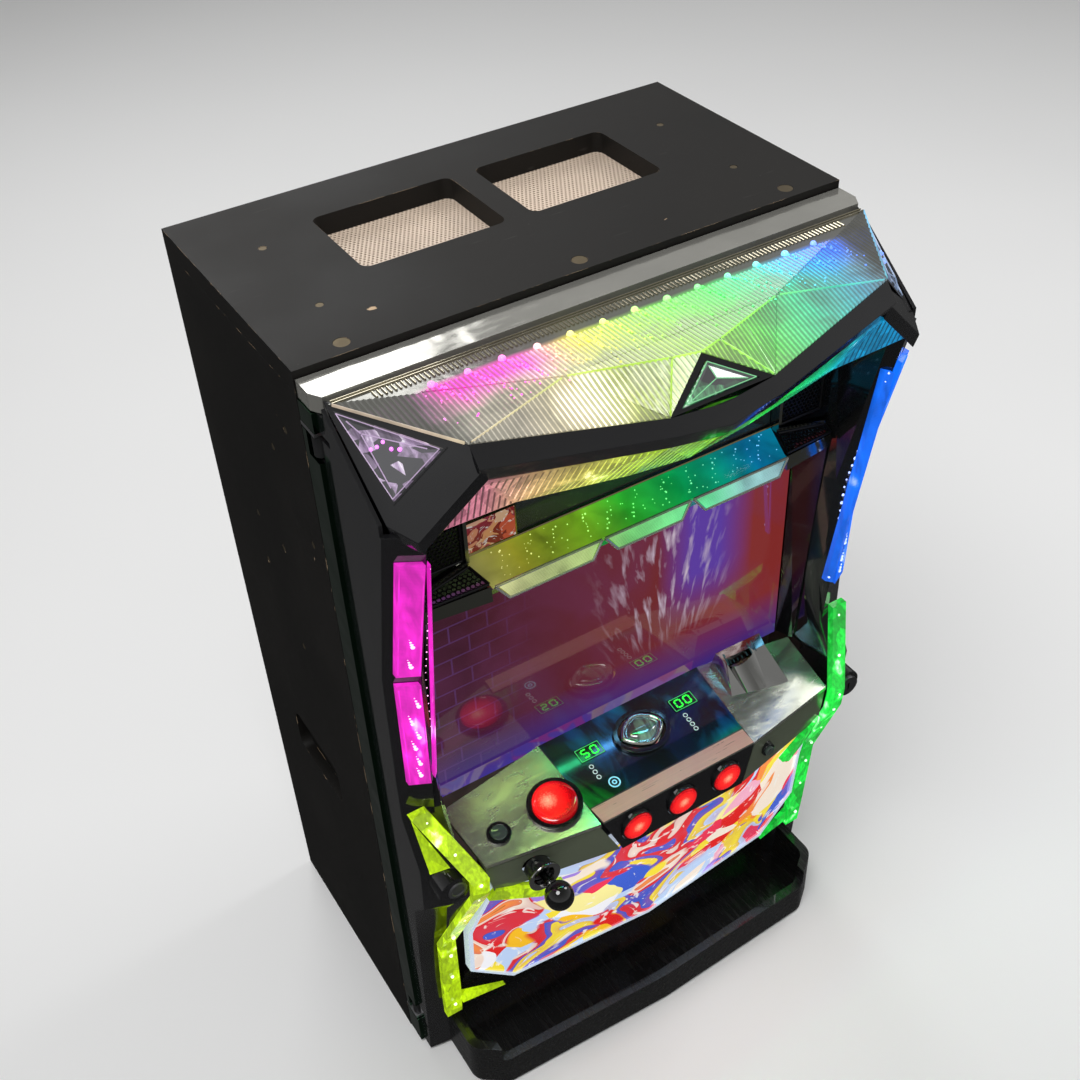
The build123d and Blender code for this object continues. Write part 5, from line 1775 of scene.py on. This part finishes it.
@dataclass
class Console:
    """The sloping deck with its plates, displays, marks and buttons."""

    back_y: float = -36.0
    back_z: float = 372.0
    slope: float = 0.161
    fall: float = 0.094
    seam_x: float = 88.0
    front_x: float = 83.0
    lip_y: float = -113.8
    lip_z: float = 359.5
    strip_y: float = -131.5
    digits: tuple[tuple[float, float], ...] = ((-51.5, -64.0), (53.5, -61.5))
    display_half: tuple[float, float] = (12.0, 6.4)
    figure_half: tuple[float, float] = (2.9, 4.0)
    figure_offset: float = 4.9
    figure_lift: float = 0.75
    left_rings: tuple[tuple[float, float], ...] = ((-58.8, -78.0), (-58.8, -84.0), (-58.8, -90.0))
    right_rings: tuple[tuple[float, float], ...] = ((46.6, -75.0), (46.6, -80.5), (46.6, -86.0),
                                                    (46.6, -91.5))
    emblem: tuple[float, float] = (-49.7, -101.0)
    max_bet: tuple[float, float] = (-107.0, -93.0)
    bet_one: tuple[float, float] = (-162.0, -90.0)
    chance: tuple[float, float] = (1.0, -70.0)
    stop_xs: tuple[float, ...] = (-49.0, 0.0, 49.0)
    stop_y: float = -134.5
    stop_z: float = 337.7

    def spot(self, x: float, y: float, lift: float = 0.0) -> Vector:
        """A place on the deck, lifted square to it by some millimetres.

        Args:
            x: Across.
            y: Back from the front edge.
            lift: Millimetres over the deck.

        Returns:
            The place.
        """
        z = self.back_z + self.slope * (y - self.back_y) - self.fall * max(0.0, abs(x) - self.seam_x)
        return at(x, y, z) + self.normal(x) * lift * MM

    def normal(self, x: float) -> Vector:
        """The deck's normal at an x.

        Args:
            x: Across, in millimetres.

        Returns:
            The normal.
        """
        lean = 0.0 if abs(x) < self.seam_x else self.fall * (1 if x > 0 else -1)
        return Vector((lean, -self.slope, 1)).normalized()

    def digit(self, bm: bmesh.types.BMesh, x: float, y: float, figure: str) -> None:
        """One seven-segment figure.

        Args:
            bm: The mesh.
            x: Its middle.
            y: Its middle.
            figure: The figure, 0 or 5, the only ones with strokes listed.
        """
        half, rise = self.figure_half
        for name in STROKES[figure]:
            (u0, v0), (u1, v1) = STROKE_ENDS[name]
            one = self.spot(x + u0 * half, y + v0 * rise / 2, self.figure_lift)
            two = self.spot(x + u1 * half, y + v1 * rise / 2, self.figure_lift)
            add_bar(bm, one.lerp(two, 0.12), one.lerp(two, 0.88), 1.3, 0.3, self.normal(x))

    def displays(self) -> None:
        """Two green number displays with outlined windows."""
        dress("digit_displays", Gloss("display_glass", (0.004, 0.01, 0.006), 0.05))
        bm, rims = bmesh.new(), bmesh.new()
        for (x, y), figures in zip(self.digits, ("50", "00")):
            for offset, figure in zip((-self.figure_offset, self.figure_offset), figures):
                self.digit(bm, x + offset, y, figure)
            wide, deep = self.display_half
            quarters = ((-1, -1), (1, -1), (1, 1), (-1, 1))
            corners = [self.spot(x + u * wide, y + v * deep, 0.6) for u, v in quarters]
            for a, b in around(corners):
                add_bar(rims, a, b, 0.6, 0.25, self.normal(x))
        piece("display_figures", bm, Signal("figure_green", (0.03, 0.95, 0.05), 1.5), "door")
        piece("display_rims", rims, Signal("rim_green", (0.08, 0.75, 0.2), 0.5), "door")

    def marks(self) -> None:
        """Small indicator rings, and a plain ring emblem."""
        bm, rim = bmesh.new(), bmesh.new()
        for x, y in (*self.left_rings, *self.right_rings):
            add_ring(bm, self.spot(x, y, 0.15), self.normal(x), 1.5, 2.3, 0.35)
        add_ring(rim, self.spot(*self.emblem, 0.15), self.normal(0), 4.3, 5.6, 0.35)
        add_ring(rim, self.spot(*self.emblem, 0.15), self.normal(0), 1.2, 2.4, 0.3)
        piece("indicator_rings", bm, Signal("ring_pale", (0.55, 0.68, 0.66), 0.55), "door",
              40.0)
        piece("emblem_ring", rim, Signal("emblem_blue", (0.25, 0.62, 0.78), 0.7), "door", 40.0)

    def plates(self) -> None:
        """The deck plates, seams and front panels."""
        dress("console_plates", CONSOLE_CHROME)
        dress("console_centre", DarkMirror())
        dress("console_fronts", FRONT_CHROME)
        dress("art_frame", Signal("edge_lit_frame", (0.62, 0.72, 0.86), 0.55))
        soften("stop_strip", PIANO, 0.6)
        bm = bmesh.new()
        add_bar(bm, self.spot(-self.front_x, self.lip_y + 1, 0.1),
                self.spot(self.front_x, self.lip_y + 1, 0.1),
                0.8, 0.5, UP)
        for side in (-1, 1):
            add_bar(bm, self.spot(side * self.seam_x, self.back_y - 3, 0.1),
                    self.spot(side * (self.front_x + 0.8), self.lip_y + 1, 0.1), 0.7, 0.4, UP)
        piece("deck_seam", bm, CHROME, "door")
        lip = bmesh.new()
        far, near = self.front_x - 0.3, self.front_x - 1.3
        top = [at(-far, self.lip_y, self.lip_z), at(far, self.lip_y, self.lip_z),
               at(near, self.strip_y, self.lip_z), at(-near, self.strip_y, self.lip_z)]
        add_loft(lip, [[p + UP * 0.1 * MM for p in top], [p + UP * 0.6 * MM for p in top]])
        piece("deck_lip", lip, LIP_CHROME, "door")

    def build(self) -> None:
        """Build and dress the console."""
        self.plates()
        self.displays()
        self.marks()


def add_ring(bm: bmesh.types.BMesh, centre: Vector, axis: Vector, inner: float, outer: float, height: float,
             count: int = 28) -> None:
    """A flat ring.

    Args:
        bm: The mesh.
        centre: Its middle.
        axis: Its axis.
        inner: Inner radius, in millimetres.
        outer: Outer radius, in millimetres.
        height: Height, in millimetres.
        count: Facets round.
    """
    side, other, up = basis(axis)
    turns = [2 * math.pi * i / count for i in range(count)]
    section = ((inner, 0), (outer, 0), (outer, height * 0.7), (outer - 0.15, height), (inner + 0.15, height),
               (inner, height * 0.7))
    rings = []
    for t in turns:
        spoke = side * math.cos(t) + other * math.sin(t)
        rings.append([centre + spoke * r * MM + up * h * MM for r, h in section])
    made = [[bm.verts.new(p) for p in ring] for ring in rings]
    for one, two in around(made):
        for i in range(len(section)):
            j = (i + 1) % len(section)
            bm.faces.new((one[i], one[j], two[j], two[i]))


@dataclass
class Buttons:
    """Everything on the deck that is pressed."""

    console: Console
    return_y: float = -128.0

    def lit_button(self, node: str, centre: Vector, axis: Vector, radius: float, height: float) -> None:
        """A domed lit button in place of a plain one.

        Args:
            node: The node that it stands for, which also names its body.
            centre: The middle of its seat.
            axis: The way it faces.
            radius: Its radius, in millimetres.
            height: How far it stands up, in millimetres.
        """
        r, h = radius, height
        profile = [(r, -9), (r, h - 1.3), (r - 0.4, h - 0.6), (r - 1.1, h - 0.3), (r * 0.87, h - 0.15),
                   (r * 0.84, h - 0.5), (r * 0.81, h - 0.5), (r * 0.79, h - 0.2), (r * 0.5, h - 0.05), (0, h)]
        bm = bmesh.new()
        add_lathe(bm, centre, axis, profile, 56)
        hot = centre + axis * h * MM
        hot += Vector((-0.25 * r * MM, 0.15 * r * MM, 0)) if axis.z > 0.5 else Vector()
        finish = GlowButton(f"{node}_glow", tuple(hot), radius * MM * 1.1)
        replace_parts(piece(node + "_lens", bm, finish, node, 25.0), node)

    def small_button(self, node: str, centre: Vector, axis: Vector, radius: float, height: float) -> None:
        """A smoked, dished button in place of a plain one.

        Args:
            node: The node it stands in for.
            centre: Middle of its seat.
            axis: Its axis.
            radius: Its radius, in millimetres.
            height: Its height, in millimetres.
        """
        r, h = radius, height
        profile = [(r, -7), (r, h - 0.9), (r - 0.7, h), (r * 0.75, h - 0.2), (r * 0.4, h - 0.7),
                   (0, h - 0.85)]
        bm = bmesh.new()
        add_lathe(bm, centre, axis, profile, 40)
        finish = Gloss("smoked_button", (0.05, 0.07, 0.06), 0.06)
        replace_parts(piece(node + "_cap", bm, finish, node, 30.0), node)

    def chance(self) -> None:
        """The chance button: a plated rounded diamond round a green glass dome."""
        console = self.console
        x, y = console.chance
        centre, up = console.spot(x, y), console.normal(x)
        side = Vector((1, 0, 0))
        other = up.cross(side)
        power, count = 1.55, 64
        half_width, half_depth = 22.6, 17.6

        def ring(share: float, lift: float) -> list[Vector]:
            """One outline of the diamond at a size and height.

            Args:
                share: Size, as a share of the whole.
                lift: Millimetres over the deck.

            Returns:
                The outline's points.
            """
            points = []
            for i in range(count):
                t = 2 * math.pi * i / count
                c, s = math.cos(t), math.sin(t)
                u = math.copysign(abs(c) ** (2 / power), c) * half_width * share
                v = math.copysign(abs(s) ** (2 / power), s) * half_depth * share
                points.append(centre + (side * u + other * v + up * lift) * MM)
            return points

        rim, dome = bmesh.new(), bmesh.new()
        rim_rings = ((1.0, -6), (1.0, 4.6), (0.96, 6.2), (0.9, 6.9), (0.84, 6.9), (0.78, 6.2), (0.74, 5.0),
                     (0.02, 5.0))
        dome_rings = ((0.72, 5.0), (0.7, 6.0), (0.6, 7.2), (0.45, 8.1), (0.25, 8.7), (0.02, 8.9))
        add_loft(rim, [ring(*s) for s in rim_rings])
        add_loft(dome, [ring(*s) for s in dome_rings])
        made = piece("chance_rim", rim, Plated("chance_plate", (0.70, 0.72, 0.66), 0.06), "chance_button",
                     35.0)
        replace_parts(made, "chance_button")
        piece("chance_dome", dome, Crystal("chance_glass", (0.18, 0.5, 0.3), 0.35), "chance_button",
              50.0)

    def build(self) -> None:
        """Build every button."""
        console = self.console
        self.lit_button("max_bet_button", console.spot(*console.max_bet),
                        console.normal(console.max_bet[0]), 19.9, 7.9)
        for node, x in zip(("stop_left", "stop_centre", "stop_right"), console.stop_xs):
            self.lit_button(node, at(x, console.stop_y, console.stop_z), FORWARD, 14.2, 3.9)
        self.small_button("bet_one_button", console.spot(*console.bet_one),
                          console.normal(console.bet_one[0]), 7.4, 4.8)
        low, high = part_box("return_button")
        middle = Vector(((low.x + high.x) / 2, at(0, self.return_y, 0).y, (low.z + high.z) / 2))
        self.small_button("return_button", middle, FORWARD, 4.9, 4.9)
        self.chance()
        soften("button_bezels", PIANO, 0.5)


@dataclass
class StartLever:
    """The ball-topped lever in its bright cup."""

    x: float = -143.0
    y: float = -124.0
    z: float = 330.0
    ball: float = 13.0
    reach: float = 31.0

    def build(self) -> None:
        """Turn the shaft, ball and cup."""
        foot = at(self.x, self.y, self.z)
        shaft = bmesh.new()
        add_lathe(shaft, foot, FORWARD, [(5.1, -14), (5.1, -1), (4.6, 1.5), (3.6, 3.5), (3.0, 8), (3.0, 14),
                                         (3.9, 15.5), (4.2, 18), (3.4, 19.5), (3.4, 21)], 32)
        made = piece("lever_shaft", shaft, CHROME, "start_lever", 30.0)
        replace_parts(made, "start_lever")
        ball = bmesh.new()
        centre = foot + FORWARD * self.reach * MM
        steps = [math.pi * i / 24 for i in range(25)]
        profile = [(self.ball * math.sin(t), -self.ball * math.cos(t)) for t in steps]
        add_lathe(ball, centre, FORWARD, profile, 48)
        made = piece("lever_knob", ball, Gloss("knob_black", (0.006, 0.006, 0.006), 0.05, 0.02),
                     "start_lever", 60.0)
        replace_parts(made, "lever_ball")
        cup = bmesh.new()
        section = ((9.8, -131.9), (15.6, -131.9), (15.4, -132.7), (14.2, -133.3), (12.2, -133.6),
                   (10.9, -132.9))
        rings, steps_round = [], 40
        for step in range(steps_round):
            turn = 2 * math.pi * step / steps_round
            rings.append([at(self.x + r * math.cos(turn), y, self.z + r * math.sin(turn))
                          for r, y in section])
        loops = [[cup.verts.new(p) for p in loop] for loop in rings]
        for one, two in around(loops):
            for i in range(len(section)):
                j = (i + 1) % len(section)
                cup.faces.new((one[i], one[j], two[j], two[i]))
        piece("lever_cup", cup, CHROME, "door", 35.0)
        dress("lever_gimbal", STEEL)


@dataclass
class MedalInlet:
    """The plated inlet block with its fluted half-round guide."""

    x: float = 123.0
    y: float = -56.0
    guide: float = 20.0
    guide_z: float = 402.0
    fall: float = -35.0
    flutes: int = 9

    def build(self) -> None:
        """Soften the block and flute its half-round slide."""
        soften("medal_inlet", CHROME, 0.6)
        bm = bmesh.new()
        slope = math.radians(self.fall)
        along = Vector((0, -math.cos(slope), math.sin(slope)))
        up = Vector((0, math.sin(slope), math.cos(slope)))
        middle = at(self.x, self.y + 2, self.guide_z)
        for i in range(self.flutes):
            turn = math.radians(-58 + 116 * i / (self.flutes - 1))
            radius = (self.guide - 0.3) * MM
            foot = middle + Vector((radius * math.sin(turn), 0, 0)) - up * radius * math.cos(turn)
            start, end = foot + along * 4 * MM, foot + along * 15 * MM
            add_bar(bm, start, end, 0.9, 0.5, middle - foot)
        finish = Plated("flute_plate", (0.22, 0.5, 0.55), 0.08)
        piece("inlet_flutes", bm, finish, "door")


@dataclass
class LowerDoor:
    """The back-lit lower panel and the payout tray."""

    def build(self) -> None:
        """Dress the panel and soften the tray."""
        stops: Stops = (
            (0.0, (0.80, 0.02, 0.02)), (0.10, (1.0, 0.55, 0.02)), (0.22, (1.0, 0.80, 0.05)),
            (0.34, (1.0, 0.86, 0.72)), (0.45, (0.9, 0.04, 0.10)), (0.52, (0.95, 0.95, 1.0)),
            (0.62, (0.05, 0.12, 0.65)),
            (0.69, (0.40, 0.25, 0.80)), (0.76, (1.0, 0.30, 0.06)), (0.83, (0.55, 0.70, 0.98)),
            (0.91, (0.95, 0.45, 0.60)),
            (0.96, (1.0, 0.90, 0.35)),
        )
        dress("art_panel", BackLitPrint("lower_print", stops, 25, 0.92))
        soften("medal_tray", TRAY_BLACK, 1.6)


@dataclass
class Studio:
    """Floor, soft light and camera."""

    camera_place: tuple[float, float, float] = (-0.4984, -0.8065, 1.3217)
    camera_turn: tuple[float, float, float] = (49.811, 2.273, -31.939)
    lens: float = 46.587
    lights: tuple[tuple[tuple[float, float, float], float, float], ...] = (
        ((-0.9, -0.6, 2.8), 1.3, 38.0),
        ((2.3, 0.1, 2.3), 1.2, 24.0),
        ((0.2, 2.2, 2.4), 1.5, 24.0),
    )
    glows: tuple[tuple[float, Colour, float], ...] = (
        (-95.0, (0.50, 0.80, 0.25), 0.10), (0.0, (0.06, 0.95, 0.30), 0.16), (95.0, (0.20, 0.60, 0.95), 0.18),
    )

    def floor(self) -> None:
        """A wide pale floor."""
        bm = bmesh.new()
        bmesh.ops.create_grid(bm, x_segments=8, y_segments=8, size=9.0)
        mesh = bpy.data.meshes.new("floor")
        bm.to_mesh(mesh)
        bm.free()
        graph = Graph("pale_floor")
        cloud = graph.noise(graph.place(), 1.5, 2)
        graph.surface({"Base Color": graph.mix(cloud, (0.86, 0.86, 0.86), (0.9, 0.9, 0.9)),
                       "Roughness": 0.75})
        mesh.materials.append(graph.material)
        made = bpy.data.objects.new("floor", mesh)
        made.visible_glossy = False
        bpy.context.scene.collection.objects.link(made)

    def lighting(self) -> None:
        """Three broad lamps and a room that darkens overhead."""
        aim = Vector((0, 0, 0.45))
        for number, (place, size, power) in enumerate(self.lights):
            light = bpy.data.lights.new(f"softbox_{number}", "AREA")
            light.shape = "DISK"
            light.size = size
            light.energy = power
            made = bpy.data.objects.new(f"softbox_{number}", light)
            made.location = place
            made.rotation_euler = (Vector(place) - aim).to_track_quat("Z", "Y").to_euler()
            bpy.context.scene.collection.objects.link(made)
        for number, (x, colour, power) in enumerate(self.glows):
            light = bpy.data.lights.new(f"awning_glow_{number}", "AREA")
            light.shape = "RECTANGLE"
            light.size, light.size_y = 0.09, 0.03
            light.energy = power
            light.color = colour
            made = bpy.data.objects.new(f"awning_glow_{number}", light)
            made.location = at(x, -62, 612)
            made.rotation_euler = (math.radians(-12), 0, 0)
            made.visible_camera = False
            bpy.context.scene.collection.objects.link(made)
        world = bpy.data.worlds.new("room")
        world.use_nodes = True
        tree = world.node_tree
        tree.nodes.clear()
        coordinate = tree.nodes.new("ShaderNodeTexCoord")
        split = tree.nodes.new("ShaderNodeSeparateXYZ")
        ramp = tree.nodes.new("ShaderNodeValToRGB")
        background = tree.nodes.new("ShaderNodeBackground")
        output = tree.nodes.new("ShaderNodeOutputWorld")
        tree.links.new(coordinate.outputs["Generated"], split.inputs[0])
        tree.links.new(split.outputs["Z"], ramp.inputs[0])
        tree.links.new(ramp.outputs[0], background.inputs[0])
        tree.links.new(background.outputs[0], output.inputs[0])
        ramp.color_ramp.elements[0].color = (0.06, 0.06, 0.06, 1)
        ramp.color_ramp.elements[1].color = (0.16, 0.16, 0.155, 1)
        ramp.color_ramp.elements[1].position = 0.85
        for position, shade in ((0.004, 0.50), (0.12, 0.50), (0.35, 0.40)):
            stop = ramp.color_ramp.elements.new(position)
            stop.color = (shade, shade, shade, 1)
        bpy.context.scene.world = world

    def camera(self) -> None:
        """The camera at its viewing angle."""
        data = bpy.data.cameras.new("camera")
        data.lens = self.lens
        data.clip_start, data.clip_end = 0.05, 60.0
        made = bpy.data.objects.new("camera", data)
        made.location = self.camera_place
        made.rotation_euler = [math.radians(a) for a in self.camera_turn]
        bpy.context.scene.collection.objects.link(made)
        bpy.context.scene.camera = made
        bpy.context.scene.view_settings.view_transform = "Standard"

    def build(self) -> None:
        """Set the whole studio up."""
        self.floor()
        self.lighting()
        self.camera()


def main() -> None:
    """Build every sub-assembly in order."""
    logging.basicConfig(level=logging.WARNING, format="%(name)s: %(message)s")
    console = Console()
    parts = (Studio(), Cabinet(), Insides(), Brow(), Pillars(), Recess(), console, Buttons(console),
             StartLever(),
             MedalInlet(), LowerDoor())
    for part in parts:
        part.build()
        LOG.info("built %s", type(part).__name__)


if __name__ == "__main__":
    main()
